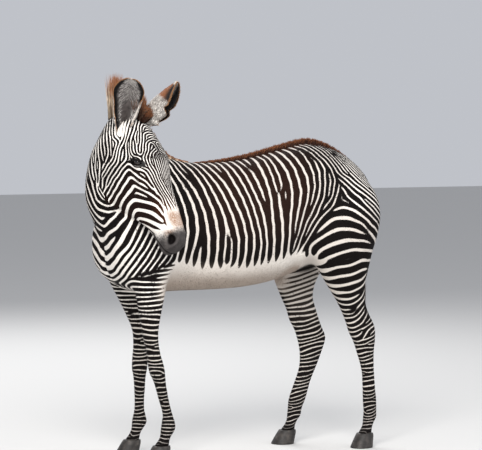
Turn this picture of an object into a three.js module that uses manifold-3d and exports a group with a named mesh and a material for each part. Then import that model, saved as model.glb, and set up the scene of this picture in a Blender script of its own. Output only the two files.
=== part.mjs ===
// A Grevy's zebra standing at rest, its neck bent to the left and its head turned back over the
// shoulder. Life size, in millimetres, +Z up. The animal faces -X, its left side is -Y, and the
// hooves stand on Z = 0. Every solid reaches out to the tips of the coat.
//
// The body is a union of lofts: rings of known height, depth and width that follow the trunk,
// neck, head, legs and tail. Thin cuts then part the union where a person would name its parts.
// Positions along X are measured from the front of the chest until the last step, which moves
// the whole animal so that the middle of its box is the origin.
import * as THREE from "three";
import { mergeVertices } from "three/addons/utils/BufferGeometryUtils.js";
import Module from "manifold-3d";

const wasm = await Module();
wasm.setup();

// ---- driving dimensions ----------------------------------------------------------------------
const WITHERS_HEIGHT = 1455;
const CROUP_HEIGHT = 1545;
const BELLY_HEIGHT = 817;
const CHEST_TO_BUTTOCK = 1432;
const BARREL_HALF_WIDTH = 282;
const HEAD_LENGTH = 668;
const HEAD_PITCH = 60.5; // degrees below the horizontal
const HEAD_TURN = -60; // compass of the nose, in degrees from +X; the body's own is 180
const POLL = [85, -220, 1678];
const EYE_RADIUS = 25;
const EAR_LENGTH = 236;
const EAR_WIDTH = 140;
const MANE_HEIGHT = 118;
const CREST_HEIGHT = 24; // the upright brown hair along the back
const CUT = 0.5; // width of the cuts that part the body
const CLEARANCE = 0.4; // between an eye or ear and the head round it

// ---- small tools -----------------------------------------------------------------------------
const V = (x, y, z) => new THREE.Vector3(x, y, z);
const rad = THREE.MathUtils.degToRad;
const lerp = THREE.MathUtils.lerp;
const compass = (degrees) => V(Math.cos(rad(degrees)), Math.sin(rad(degrees)), 0);

// A ring is a centre, two axes (side is the animal's right or a limb's outside, up is dorsal or a
// limb's front), a half-width w, reaches t and b towards and away from up, and the power n of its
// outline: 2 is an ellipse and more is squarer. k draws in the half-width towards the lower edge,
// or towards the upper edge when it is negative.
function ring(c, side, up, w, t, b, n = 2.2, k = 0) {
  return [...c.toArray(), ...side.toArray(), ...up.toArray(), w, t, b, n, k];
}

// Catmull-Rom through rows of numbers, with `steps` rows for each gap.
function refine(rows, steps) {
  const at = (i) => rows[THREE.MathUtils.clamp(i, 0, rows.length - 1)];
  const out = [];
  for (let i = 0; i < rows.length - 1; i++) {
    const [p, q, r, s] = [at(i - 1), at(i), at(i + 1), at(i + 2)];
    for (let j = 0; j < steps; j++) {
      const u = j / steps;
      out.push(
        q.map(
          (value, m) =>
            0.5 *
            (2 * value +
              (r[m] - p[m]) * u +
              (2 * p[m] - 5 * value + 4 * r[m] - s[m]) * u * u +
              (3 * value - p[m] - 3 * r[m] + s[m]) * u * u * u),
        ),
      );
    }
  }
  out.push(rows[rows.length - 1]);
  return out;
}

function ringPoints(row, around) {
  const [cx, cy, cz, sx, sy, sz, ux, uy, uz, w, t, b, n, k] = row;
  const centre = V(cx, cy, cz);
  const side = V(sx, sy, sz).normalize();
  const up = V(ux, uy, uz).normalize();
  const curve = (value) => Math.sign(value) * Math.abs(value) ** (2 / n);
  const drawn = (rise) => 1 - Math.abs(k) * Math.max(0, k > 0 ? -rise : rise);
  return Array.from({ length: around }, (_, i) => {
    const angle = (i / around) * 2 * Math.PI;
    const rise = curve(Math.sin(angle));
    const across = curve(Math.cos(angle)) * drawn(rise);
    return centre
      .clone()
      .addScaledVector(side, w * across)
      .addScaledVector(up, rise * (rise > 0 ? t : b));
  });
}

// A closed skin over rings of points. Its ends are closed with a fan of triangles, or with a strip
// between the two halves of the ring.
function skinOver(rings, ends = "fan") {
  const around = rings[0].length;
  const points = rings.flat();
  const faces = [];
  for (let i = 0; i < rings.length - 1; i++)
    for (let j = 0; j < around; j++) {
      const [a, b] = [i * around + j, i * around + ((j + 1) % around)];
      faces.push(a, b, a + around, b, b + around, a + around);
    }
  const end = (rings.length - 1) * around;
  if (ends === "strip") {
    for (let j = 0; j < around / 2 - 1; j++) {
      const [a, b, c, d] = [j, j + 1, around - 2 - j, around - 1 - j];
      faces.push(a, d, b, b, d, c, end + a, end + b, end + d, end + b, end + c, end + d);
    }
    return solid(points, faces);
  }
  const middle = (ring) => ring.reduce((sum, p) => sum.add(p), V(0, 0, 0)).divideScalar(around);
  points.push(middle(rings[0]), middle(rings[rings.length - 1]));
  const [first, last] = [points.length - 2, points.length - 1];
  for (let j = 0; j < around; j++) {
    const next = (j + 1) % around;
    faces.push(first, next, j, last, end + j, end + next);
  }
  return solid(points, faces);
}

// A manifold solid from points and triangles, turned so that its faces point outwards.
function solid(points, faces) {
  const make = (triVerts) =>
    new wasm.Manifold(
      new wasm.Mesh({
        numProp: 3,
        vertProperties: new Float32Array(points.flatMap((p) => p.toArray())),
        triVerts: new Uint32Array(triVerts),
      }),
    );
  const made = make(faces);
  return made.volume() > 0 ? made : make([...faces].reverse());
}

const loft = (rows, around, steps = 2) =>
  skinOver(refine(rows, steps).map((row) => ringPoints(row, around)));

// A three.js geometry as a manifold solid, and back again.
function fromGeometry(geometry) {
  const bare = new THREE.BufferGeometry();
  const source = geometry.index ? geometry.toNonIndexed() : geometry;
  bare.setAttribute("position", source.getAttribute("position"));
  const merged = mergeVertices(bare, 1e-3);
  return new wasm.Manifold(
    new wasm.Mesh({
      numProp: 3,
      vertProperties: merged.attributes.position.array,
      triVerts: new Uint32Array(merged.index.array),
    }),
  );
}

function toGeometry(made) {
  const mesh = made.getMesh();
  const place = new Float32Array(mesh.numVert * 3);
  for (let i = 0; i < mesh.numVert; i++)
    place.set(mesh.vertProperties.subarray(i * mesh.numProp, i * mesh.numProp + 3), i * 3);
  const geometry = new THREE.BufferGeometry();
  geometry.setAttribute("position", new THREE.BufferAttribute(place, 3));
  geometry.setIndex(new THREE.BufferAttribute(mesh.triVerts, 1));
  geometry.computeVertexNormals();
  return geometry;
}

const join = (solids) => solids.reduce((sum, s) => sum.add(s));

// ---- trunk: upright rings along X ------------------------------------------------------------
const RIGHT = V(0, 1, 0);
const UP = V(0, 0, 1);

// One upright ring of the trunk: its top and belly heights, half-width, the height of its widest
// level as a share of its depth, and the squareness of its outline.
function trunkRing(x, top, belly, halfWidth, widest = 0.5, n = 2.2, k = 0) {
  const middle = lerp(belly, top, widest);
  return ring(V(x, 0, middle), RIGHT, UP, halfWidth, top - middle, middle - belly, n, k);
}

const trunkRows = [
  trunkRing(-14, 1095, 978, 112, 0.5, 2.6),
  trunkRing(0, 1180, 925, 178, 0.5, 2.6),
  trunkRing(42, 1260, 872, 203, 0.5, 2.7),
  trunkRing(130, 1335, 828, 206, 0.5, 2.5, 0.1),
  trunkRing(245, 1405, 816, 215, 0.5, 2.3, 0.15),
  trunkRing(390, WITHERS_HEIGHT, BELLY_HEIGHT, 236, 0.46, 2.1, 0.1),
  trunkRing(545, 1456, 818, 262, 0.44, 2.05),
  trunkRing(700, 1466, 824, BARREL_HALF_WIDTH, 0.43, 2.1),
  trunkRing(847, 1494, 845, 284, 0.44, 2.15),
  trunkRing(974, 1524, 882, 268, 0.5, 2.2),
  trunkRing(1080, CROUP_HEIGHT, 920, 252, 0.58, 2.25),
  trunkRing(1188, 1530, 960, 240, 0.6, 2.2),
  trunkRing(1286, 1488, 1000, 218, 0.6, 2.2),
  trunkRing(1362, 1432, 1045, 178, 0.58, 2.1),
  trunkRing(CHEST_TO_BUTTOCK - 22, 1375, 1110, 118, 0.55, 2.1),
  trunkRing(CHEST_TO_BUTTOCK - 6, 1330, 1165, 55, 0.5, 2.1),
];

// ---- neck: rings between a point of the crest and a point of the throat ------------------------
// turn is the compass of the animal's right side there, in degrees.
function neckRing(crest, throat, turn, halfWidth, n = 2.1, k = 0) {
  const up = crest.clone().sub(throat);
  const half = up.length() / 2;
  const middle = crest.clone().add(throat).multiplyScalar(0.5);
  return ring(middle, compass(turn), up.normalize(), halfWidth, half, half, n, k);
}

const neckRows = [
  neckRing(V(560, 0, 1440), V(90, 0, 880), 90, 175, 2.2, -0.2),
  neckRing(V(445, 0, 1456), V(16, 0, 1010), 90, 176, 2.5, -0.25),
  neckRing(V(310, 0, 1488), V(-34, 0, 1140), 97, 154, 2.5, -0.3),
  neckRing(V(165, -2, 1570), V(-84, -30, 1262), 112, 116, 2.3, -0.35),
  neckRing(V(64, -18, 1638), V(-76, -104, 1362), 148, 90, 2.2, -0.35),
  neckRing(V(20, -66, 1684), V(-26, -192, 1420), 186, 82, 2.2, -0.3),
  neckRing(V(40, -118, 1700), V(26, -246, 1440), 204, 84, 2.3, -0.2),
  neckRing(V(76, -172, 1690), V(92, -286, 1446), 208, 76, 2.3),
];

// ---- head: rings along the line from the poll to the lips --------------------------------------
const faceTurn = compass(HEAD_TURN);
const headAlong = faceTurn
  .clone()
  .multiplyScalar(Math.cos(rad(HEAD_PITCH)))
  .addScaledVector(UP, -Math.sin(rad(HEAD_PITCH)));
const headUp = faceTurn
  .clone()
  .multiplyScalar(Math.sin(rad(HEAD_PITCH)))
  .addScaledVector(UP, Math.cos(rad(HEAD_PITCH)));
const headRight = headAlong.clone().cross(headUp);

// A point of the head: along from the poll, up towards the forehead, out to the right.
const headPoint = (along, up, right = 0) =>
  V(...POLL)
    .addScaledVector(headAlong, along)
    .addScaledVector(headUp, up)
    .addScaledVector(headRight, right);

// One ring of the head: its forehead and jaw lines, its widest level and its half-width there.
function headRing(along, top, jaw, widest, halfWidth, n = 2.3, k = 0.3) {
  return ring(headPoint(along, widest), headRight, headUp, halfWidth, top - widest, widest - jaw, n, k);
}

const headRows = [
  headRing(-22, -48, -150, -95, 40, 2.1, 0),
  headRing(-6, -8, -210, -88, 70, 2.2, 0.1),
  headRing(40, 16, -256, -72, 84, 2.4, 0.15),
  headRing(100, 26, -300, -62, 93, 2.5, 0.24),
  headRing(160, 31, -328, -55, 102, 2.6, 0.32),
  headRing(215, 31, -342, -52, 104, 2.7, 0.37),
  headRing(270, 22, -336, -62, 96, 2.7, 0.37),
  headRing(330, 8, -312, -80, 82, 2.6, 0.34),
  headRing(400, -2, -267, -92, 66, 2.5, 0.3),
  headRing(470, -9, -222, -98, 56, 2.5, 0.26),
  headRing(530, -18, -200, -102, 55, 2.4, 0.22),
  headRing(585, -33, -188, -106, 61, 2.4, 0.2),
  headRing(630, -56, -180, -112, 59, 2.4, 0.22),
  headRing(HEAD_LENGTH - 14, -84, -166, -120, 44, 2.2, 0.2),
  headRing(HEAD_LENGTH, -104, -144, -122, 22, 2.1, 0.1),
];

const EYE_PLACE = { along: 216, up: -43, right: 88 };
const eyeCentre = (sign) => headPoint(EYE_PLACE.along, EYE_PLACE.up, sign * EYE_PLACE.right);
const ball = (centre, radius, detail = 16) =>
  fromGeometry(
    new THREE.SphereGeometry(radius, detail, detail / 2).translate(...centre.toArray()),
  );

// ---- legs: level rings down the limb -----------------------------------------------------------
// A leg is a list of levels. Each has a height, the X of its front and back edges measured in the
// limb's own plane, the Y of its middle and its half-width. toe turns the rings outwards.
function legRing([z, front, back, y, halfWidth, n = 2.2], toe) {
  const forward = compass(180 + toe);
  const side = compass(90 + toe);
  const half = (back - front) / 2;
  return ring(V((front + back) / 2, y, z), side, forward, halfWidth, half, half, n);
}

// The levels that every leg shares from the fetlock down, ahead of the fetlock's middle.
function pasternLevels(x, y, toe) {
  const ahead = compass(180 + toe);
  const level = (z, forward, half, width) => {
    const middle = ahead.clone().multiplyScalar(forward);
    return [z, x + middle.x - half, x + middle.x + half, y + middle.y, width, 2.1];
  };
  return [
    level(176, 0, 41, 34),
    level(150, 2, 43, 36),
    level(122, 13, 33, 32),
    level(96, 26, 32, 32),
    level(72, 38, 42, 39),
  ];
}

// joinHeight is where it leaves the trunk, and middle is the cut at its knee or hock.
const LEGS = {
  foreleg_left: {
    joinHeight: 960,
    middle: V(222, -124, 425),
    toe: 6,
    levels: [
      [1240, 124, 328, -120, 60],
      [1140, 84, 344, -136, 82],
      [1040, 59, 337, -145, 90],
      [950, 66, 294, -145, 84],
      [870, 90, 266, -140, 72],
      [790, 110, 253, -133, 62],
      [700, 126, 237, -128, 52],
      [620, 142, 227, -125, 45],
      [540, 163, 236, -124, 42],
      [470, 172, 256, -124, 47],
      [425, 182, 264, -124, 48],
      [385, 202, 268, -124, 39],
      [300, 225, 285, -124, 30],
      [225, 247, 305, -124, 30],
    ],
    fetlock: [281, -124],
  },
  foreleg_right: {
    joinHeight: 960,
    middle: V(234, 130, 425),
    toe: -6,
    levels: [
      [1240, 110, 315, 120, 60],
      [1140, 68, 329, 136, 82],
      [1040, 39, 321, 145, 90],
      [950, 41, 302, 145, 84],
      [870, 74, 283, 140, 72],
      [790, 115, 279, 135, 62],
      [700, 160, 277, 131, 52],
      [620, 194, 277, 130, 45],
      [540, 199, 273, 130, 42],
      [470, 194, 277, 130, 47],
      [425, 193, 275, 130, 48],
      [385, 199, 268, 130, 39],
      [300, 203, 264, 130, 30],
      [225, 203, 262, 130, 30],
    ],
    fetlock: [233, 131],
  },
  hindleg_left: {
    joinHeight: 1000,
    middle: V(1348, -131, 592),
    toe: 20,
    levels: [
      [1420, 1155, 1302, -105, 60],
      [1320, 1088, 1402, -128, 100],
      [1200, 1042, 1438, -138, 122],
      [1090, 1021, 1421, -143, 128],
      [1000, 1037, 1391, -146, 116],
      [916, 1092, 1370, -148, 98],
      [832, 1144, 1352, -146, 78],
      [752, 1198, 1358, -141, 62],
      [690, 1230, 1380, -136, 50],
      [635, 1254, 1414, -132, 44],
      [589, 1270, 1426, -131, 47],
      [538, 1299, 1424, -130, 45],
      [480, 1318, 1419, -130, 38],
      [401, 1342, 1420, -131, 32],
      [321, 1349, 1425, -132, 31],
      [240, 1351, 1433, -133, 32],
    ],
    fetlock: [1395, -133],
  },
  hindleg_right: {
    joinHeight: 1000,
    middle: V(1173, 132, 592),
    toe: -8,
    levels: [
      [1420, 1144, 1290, 105, 60],
      [1320, 1065, 1388, 128, 100],
      [1200, 1002, 1417, 138, 122],
      [1090, 966, 1385, 143, 128],
      [1000, 956, 1332, 146, 116],
      [916, 972, 1276, 148, 98],
      [832, 995, 1221, 146, 78],
      [752, 1025, 1204, 142, 62],
      [690, 1052, 1222, 138, 52],
      [636, 1064, 1239, 134, 44],
      [592, 1090, 1256, 133, 46],
      [540, 1108, 1276, 131, 46],
      [480, 1121, 1258, 130, 41],
      [400, 1121, 1226, 130, 35],
      [320, 1094, 1190, 130, 32],
      [235, 1061, 1164, 130, 33],
    ],
    fetlock: [1096, 130],
  },
};

const legRows = ({ levels, fetlock, toe }) => [
  ...levels.map((level) => legRing(level, 0)),
  ...pasternLevels(...fetlock, toe).map((level) => legRing(level, toe)),
];

// ---- hooves: a coronet ring, a sloping wall and a flat sole at Z = 0 ---------------------------
const CORONET = 71;
function hoof({ fetlock: [x, y], toe }) {
  const ahead = compass(180 + toe);
  const side = compass(90 + toe);
  const level = (z, forward, w, front, back) =>
    ring(V(x, y, z).addScaledVector(ahead, forward), side, ahead, w, front, back, 2.2);
  return loft(
    [
      level(CORONET, 38, 40, 44, 42),
      level(CORONET - 14, 41, 44, 51, 46),
      level(4, 58, 54, 66, 52),
      level(0, 58, 52, 64, 50),
    ],
    16,
    1,
  );
}

// ---- tail --------------------------------------------------------------------------------------
const tailRing = (x, y, z, w, t, n = 2) => ring(V(x, y, z), V(0, 1, 0), V(1, 0, 0.25), w, t, t, n);
const dock = loft(
  [
    ring(V(1365, 0, 1395), RIGHT, V(0.55, 0, 1), 42, 34, 34, 2),
    ring(V(1415, 2, 1362), RIGHT, V(0.8, 0, 1), 34, 28, 28, 2),
    tailRing(1446, 8, 1300, 27, 25),
    tailRing(1454, 24, 1190, 23, 22),
    tailRing(1444, 40, 1070, 21, 20),
    tailRing(1432, 50, 950, 21, 20),
  ],
  10,
  1,
);
const tassel = loft(
  [
    tailRing(1432, 50, 949, 22, 21),
    tailRing(1428, 56, 860, 34, 32),
    tailRing(1422, 62, 760, 40, 38),
    tailRing(1418, 66, 660, 36, 34),
    tailRing(1416, 68, 580, 22, 22),
    tailRing(1416, 68, 545, 7, 8),
  ],
  10,
  1,
);

// ---- hair along the crest of the neck and the back ---------------------------------------------
// A blade of hair: each row gives the crest point it grows from, its lean, height and thickness.
function hairBlade(rows) {
  return skinOver(
    rows.map(([x, y, z, lx, ly, lz, height, sx, sy, thick]) => {
      const root = V(x, y, z);
      const lean = V(lx, ly, lz).normalize();
      const side = V(sx, sy, 0).normalize();
      const at = (up, across) =>
        root.clone().addScaledVector(lean, up).addScaledVector(side, across * thick);
      return [
        at(-28, 1),
        at(height * 0.55, 0.85),
        at(height, 0.25),
        at(height, -0.25),
        at(height * 0.55, -0.85),
        at(-28, -1),
      ];
    }),
  );
}

function maneRow(crest, turn, lean, height, thick) {
  const side = compass(turn);
  return [...crest, ...lean, height, side.x, side.y, thick];
}
const maneRows = [
  maneRow([440, 0, 1458], 90, [0.25, 0, 1], MANE_HEIGHT * 0.04, 12),
  maneRow([360, 0, 1472], 92, [0.2, 0, 1], MANE_HEIGHT * 0.08, 15),
  maneRow([300, 0, 1492], 97, [0.1, 0, 1], MANE_HEIGHT * 0.3, 17),
  maneRow([235, 0, 1530], 104, [0.1, 0, 1], MANE_HEIGHT * 0.75, 18),
  maneRow([150, -2, 1578], 114, [0.1, 0.05, 1], MANE_HEIGHT, 19),
  maneRow([60, -20, 1638], 150, [0.06, 0.1, 1], MANE_HEIGHT * 1.15, 19),
  maneRow([20, -66, 1682], 186, [0, -0.05, 1], MANE_HEIGHT * 1.68, 19),
  maneRow([40, -118, 1698], 204, [-0.03, 0, 1], MANE_HEIGHT * 1.3, 18),
  maneRow([76, -172, 1694], 208, [0.06, -0.05, 1], MANE_HEIGHT * 1.25, 17),
  maneRow([106, -232, 1684], 210, [0.3, -0.35, 1], MANE_HEIGHT * 0.9, 14),
];
const mane = hairBlade(maneRows);

const crestRow = (x, top, height) => [x, 0, top, 0.2, 0, 1, height, 0, 1, 17];
const backCrest = hairBlade([
  crestRow(500, 1455, 6),
  crestRow(640, 1460, CREST_HEIGHT * 0.6),
  crestRow(780, 1481, CREST_HEIGHT * 0.85),
  crestRow(925, 1513, CREST_HEIGHT),
  crestRow(1080, CROUP_HEIGHT, CREST_HEIGHT),
  crestRow(1188, 1530, CREST_HEIGHT),
  crestRow(1286, 1488, CREST_HEIGHT * 0.8),
  crestRow(1355, 1438, CREST_HEIGHT * 0.4),
]);

// ---- ears: a cupped leaf with a thick wall -----------------------------------------------------
// Shares of the ear's length from its root, with the half-width there as a share of the widest,
// how far round the cup closes on each side in degrees, and how far its back lies behind the line
// from the root to the tip.
const EAR_ROWS = [
  [0.0, 0.46, 165, 0.13],
  [0.1, 0.56, 160, 0.16],
  [0.21, 0.71, 154, 0.185],
  [0.31, 0.79, 148, 0.195],
  [0.4, 0.84, 112, 0.185],
  [0.5, 0.92, 104, 0.16],
  [0.6, 0.98, 92, 0.13],
  [0.71, 1.0, 78, 0.1],
  [0.81, 0.88, 66, 0.065],
  [0.9, 0.67, 54, 0.035],
  [0.965, 0.38, 42, 0.012],
  [1.0, 0.12, 30, 0.0],
];
const EAR_WALL = 5;
const EAR_COLUMNS = 7;

// up runs from the root to the tip, and open is the way the hollow faces.
function ear({ root, up, open, length = EAR_LENGTH, width = EAR_WIDTH }) {
  const rise = up.clone().normalize();
  const face = open.clone().addScaledVector(rise, -open.dot(rise)).normalize();
  const across = rise.clone().cross(face);
  const lines = EAR_ROWS.map(([share, halfShare, closeDegrees, bow]) => {
    const close = rad(closeDegrees);
    const radius = (halfShare * width) / 2 / Math.sin(Math.min(close, Math.PI / 2));
    const spine = root
      .clone()
      .addScaledVector(rise, share * length)
      .addScaledVector(face, -bow * length);
    const line = (inset) => {
      const r = Math.max(radius - inset, 1.2);
      return Array.from({ length: EAR_COLUMNS + 1 }, (_, j) => {
        const angle = lerp(-close, close, j / EAR_COLUMNS);
        return spine
          .clone()
          .addScaledVector(across, r * Math.sin(angle))
          .addScaledVector(face, radius - r * Math.cos(angle));
      });
    };
    return [...line(0), ...line(EAR_WALL).reverse()];
  });
  return skinOver(lines, "strip");
}

const EARS = {
  ear_right: {
    root: headPoint(20, -40, 88),
    up: V(0.056, 0.029, 0.221),
    open: V(-0.4226, -0.9063, 0.1),
  },
  ear_left: {
    root: headPoint(16, -2, -78),
    up: V(0.134, -0.0625, 0.203),
    open: V(0.643, -0.576, -0.563),
  },
};

// ---- solids that the others are cut back from --------------------------------------------------
// The same rings, larger all round by a gap.
function grown(rows, gap = CLEARANCE) {
  const bigger = rows.map((row) => [...row]);
  const push = (row, next) => {
    const away = V(...row).sub(V(...next)).setLength(gap);
    row.splice(0, 3, row[0] + away.x, row[1] + away.y, row[2] + away.z);
  };
  push(bigger[0], rows[1]);
  push(bigger[rows.length - 1], rows[rows.length - 2]);
  for (const row of bigger) for (const size of [9, 10, 11]) row[size] += gap;
  return bigger;
}

// A cut is a thin disc, wide enough for the part that it crosses.
function disc(centre, normal, radius) {
  const geometry = new THREE.CylinderGeometry(radius, radius, CUT, 24);
  const turn = new THREE.Quaternion().setFromUnitVectors(V(0, 1, 0), normal.clone().normalize());
  return fromGeometry(geometry.applyQuaternion(turn).translate(...centre.toArray()));
}

// The pieces of a cut solid, largest first, without slivers.
const pieces = (made) =>
  made
    .decompose()
    .filter((piece) => piece.volume() > 500)
    .sort((a, b) => b.volume() - a.volume());
const biggest = (made) => pieces(made)[0];

// ---- the body ----------------------------------------------------------------------------------
const named = {};
const legNames = Object.keys(LEGS);
const legLofts = Object.fromEntries(
  legNames.map((name) => {
    const leg = LEGS[name];
    const rows = legRows(leg);
    const split = leg.levels.findIndex(([z]) => z <= leg.joinHeight);
    return [name, { upper: rows.slice(0, split + 1), lower: rows.slice(split) }];
  }),
);

const headAround = 20;
const trunkAround = 24;
const neckAround = 20;
const legAround = 12;
const bodyWith = (gap) => {
  const size = (rows) => (gap ? grown(rows, gap) : rows);
  return join([
    loft(size(trunkRows), trunkAround),
    loft(size(neckRows), neckAround),
    ...legNames.map((name) => loft(size(legLofts[name].upper), legAround, 1)),
    backCrest,
  ]);
};
const body = bodyWith(0);
const bodyRoom = bodyWith(CLEARANCE);
const skullRoom = loft(grown(headRows), headAround);

const [crestPoint, throatPoint] = [V(462, 0, 1462), V(20, 0, 1006)];
const neckBase = disc(
  crestPoint.clone().add(throatPoint).multiplyScalar(0.5),
  V(-(crestPoint.z - throatPoint.z), 0, crestPoint.x - throatPoint.x),
  410,
);
const [trunkPiece, neckPiece] = pieces(body.subtract(neckBase).subtract(skullRoom));
named.trunk = trunkPiece;
named.neck = neckPiece;

const sockets = join([1, -1].map((sign) => ball(eyeCentre(sign), EYE_RADIUS + CLEARANCE)));
named.head = loft(headRows, headAround).subtract(sockets);
named.eye_right = ball(eyeCentre(1), EYE_RADIUS);
named.eye_left = ball(eyeCentre(-1), EYE_RADIUS);
for (const [name, shape] of Object.entries(EARS))
  named[name] = biggest(ear(shape).subtract(skullRoom).subtract(bodyRoom));
named.mane = biggest(mane.subtract(bodyRoom).subtract(skullRoom));

for (const name of legNames) {
  const { lower } = legLofts[name];
  lower[0] = [...lower[0]];
  lower[0][2] -= CUT;
  const limb = loft(lower, legAround, 1).subtract(bodyRoom);
  const { middle } = LEGS[name];
  const halves = pieces(limb.subtract(disc(middle, UP, 90)));
  halves.sort((a, b) => b.boundingBox().max[2] - a.boundingBox().max[2]);
  named[`${name}_upper`] = halves[0];
  named[`${name}_cannon`] = halves[1];
  named[`${name}_hoof`] = hoof(LEGS[name]);
}
named.tail_dock = biggest(dock.subtract(bodyRoom));
named.tail_tassel = tassel;

// ---- meshes ------------------------------------------------------------------------------------
const COLOURS = {
  coat: 0xd9cdb8,
  hair: 0x4a3628,
  hoof: 0x3a3633,
  eye: 0x1b1310,
};
const slotOf = (name) => {
  if (name.startsWith("eye")) return "eye";
  if (name.endsWith("hoof")) return "hoof";
  return name === "mane" || name === "tail_tassel" ? "hair" : "coat";
};

const zebra = new THREE.Group();
zebra.name = "zebra";
for (const [name, made] of Object.entries(named)) {
  const slot = slotOf(name);
  const material = new THREE.MeshStandardMaterial({
    color: COLOURS[slot],
    roughness: slot === "eye" ? 0.1 : 0.8,
    flatShading: true,
  });
  material.name = slot;
  const mesh = new THREE.Mesh(toGeometry(made), material);
  mesh.name = name;
  zebra.add(mesh);
}

// The middle of the box goes to the origin, and the soles stay at Z = 0.
const box = new THREE.Box3().setFromObject(zebra);
const shift = box.getCenter(V(0, 0, 0)).negate().setZ(-box.min.z);
for (const mesh of zebra.children) mesh.geometry.translate(...shift.toArray());

export default zebra;
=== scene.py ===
import math

import bmesh
import bpy
import mathutils
import numpy as np
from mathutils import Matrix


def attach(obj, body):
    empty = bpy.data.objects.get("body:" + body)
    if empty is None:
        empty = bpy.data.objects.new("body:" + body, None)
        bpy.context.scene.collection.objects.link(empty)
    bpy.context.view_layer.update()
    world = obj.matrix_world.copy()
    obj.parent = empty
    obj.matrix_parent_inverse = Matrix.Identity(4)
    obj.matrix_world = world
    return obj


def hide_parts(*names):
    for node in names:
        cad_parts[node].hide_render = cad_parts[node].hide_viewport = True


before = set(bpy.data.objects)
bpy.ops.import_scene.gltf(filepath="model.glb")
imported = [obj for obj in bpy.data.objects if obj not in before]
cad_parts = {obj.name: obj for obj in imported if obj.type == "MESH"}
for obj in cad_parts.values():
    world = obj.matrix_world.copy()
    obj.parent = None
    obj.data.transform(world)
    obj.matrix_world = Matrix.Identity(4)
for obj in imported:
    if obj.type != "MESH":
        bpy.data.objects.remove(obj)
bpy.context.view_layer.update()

# ==== The stand: the floor, the light and where the visitor stands =============================
# The animal stands on a plain pale floor under wide soft lamps. The eye stands about twelve
# metres off to its left and a little ahead, at a person's height, and looks slightly down.
EYE_POINT = np.array([-5.1516, -11.0692, 1.8])
EYE_HEADING = (0.4226, 0.9063)
EYE_DIP = math.radians(3.08)
SENSOR_WIDTH = 36
PICTURE_WIDTH, LENS_IN_PIXELS = 482, 2460
LENS = LENS_IN_PIXELS * SENSOR_WIDTH / PICTURE_WIDTH


def plain_material(name, colour, roughness):
    """A material of one colour and roughness; the caller adds its grain."""
    made = bpy.data.materials.new(name)
    made.use_nodes = True
    shader = made.node_tree.nodes["Principled BSDF"]
    shader.inputs["Base Color"].default_value = (*colour, 1)
    shader.inputs["Roughness"].default_value = roughness
    return made, made.node_tree, shader


def mesh_object(name, points, faces, material=None):
    """A smooth-shaded mesh of points in metres in a new object at the origin."""
    mesh = bpy.data.meshes.new(name)
    mesh.from_pydata(np.asarray(points, float).tolist(), [], [list(f) for f in faces])
    mesh.polygons.foreach_set("use_smooth", np.ones(len(mesh.polygons), bool))
    made = bpy.data.objects.new(name, mesh)
    bpy.context.scene.collection.objects.link(made)
    if material:
        mesh.materials.append(material)
    return made


camera = bpy.data.objects.new("visitor", bpy.data.cameras.new("visitor"))
bpy.context.scene.collection.objects.link(camera)
camera.location = EYE_POINT
camera.rotation_euler = (
    math.pi / 2 - EYE_DIP,
    0,
    math.atan2(EYE_HEADING[1], EYE_HEADING[0]) - math.pi / 2,
)
camera.data.lens = LENS
camera.data.sensor_width = SENSOR_WIDTH
camera.data.clip_end = 200
bpy.context.scene.camera = camera
bpy.context.scene.view_settings.view_transform = "Standard"


def lamp(name, place, aim, size, watts, colour=(1, 1, 1)):
    """A square area lamp at place that faces aim: it is tilted by atan2(level, upright) of the
    way back from aim, and turned by that way's heading."""
    data = bpy.data.lights.new(name, "AREA")
    data.size, data.energy, data.color = size, watts, colour
    made = bpy.data.objects.new(name, data)
    bpy.context.scene.collection.objects.link(made)
    made.location = place
    away = np.array(place, float) - np.array(aim, float)
    flat = math.hypot(away[0], away[1])
    made.rotation_euler = (math.atan2(flat, away[2]), 0, math.atan2(away[0], -away[1]))


lamp("key", (-3.5, -6.0, 6.0), (0, 0, 0.9), 5.0, 1020, (1, 0.98, 0.95))
lamp("fill", (4.5, -5.0, 3.0), (0, 0, 0.9), 5.0, 160, (0.96, 0.98, 1))
lamp("back", (0.5, 5.5, 5.0), (0, 0, 1.0), 5.0, 300)
world = bpy.data.worlds.new("room")
world.use_nodes = True
world.node_tree.nodes["Background"].inputs["Color"].default_value = (0.9, 0.93, 1, 1)
world.node_tree.nodes["Background"].inputs["Strength"].default_value = 0.58
bpy.context.scene.world = world

floor_finish, _, _ = plain_material("pale floor", (0.56, 0.555, 0.545), 0.9)
FLOOR_HALF = 30
floor = mesh_object(
    "floor",
    [(-FLOOR_HALF, -FLOOR_HALF, 0), (FLOOR_HALF, -FLOOR_HALF, 0),
     (FLOOR_HALF, FLOOR_HALF, 0), (-FLOOR_HALF, FLOOR_HALF, 0)],
    [(0, 1, 2, 3)],
    floor_finish,
)

# ==== The hide =================================================================================
# One closed skin over trunk, neck, head, legs and dock. A museum's maker stretches the tanned
# hide over a carved body; here the body is lofts of rings, joined, and the skin is drawn over it.
# Sizes are in millimetres from the front of the chest; X runs back and the left side is -Y.
CHEST_FRONT = np.array([-681.6, 86.8, 0.0])
COAT_DEPTH = 3.5
VOXEL = 0.0098
UP = np.array([0.0, 0.0, 1.0])


def to_frame(points):
    """Millimetres from the chest front become metres in the frame."""
    return (np.asarray(points, float) + CHEST_FRONT) / 1000


def compass(degrees):
    """The level unit vector at a heading: (cos, sin, 0) of the degrees."""
    turn = np.radians(degrees)
    return np.array([np.cos(turn), np.sin(turn), 0.0])


def unit(vectors):
    """Each vector divided by its own length."""
    return vectors / np.maximum(np.linalg.norm(vectors, axis=-1, keepdims=True), 1e-12)


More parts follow.
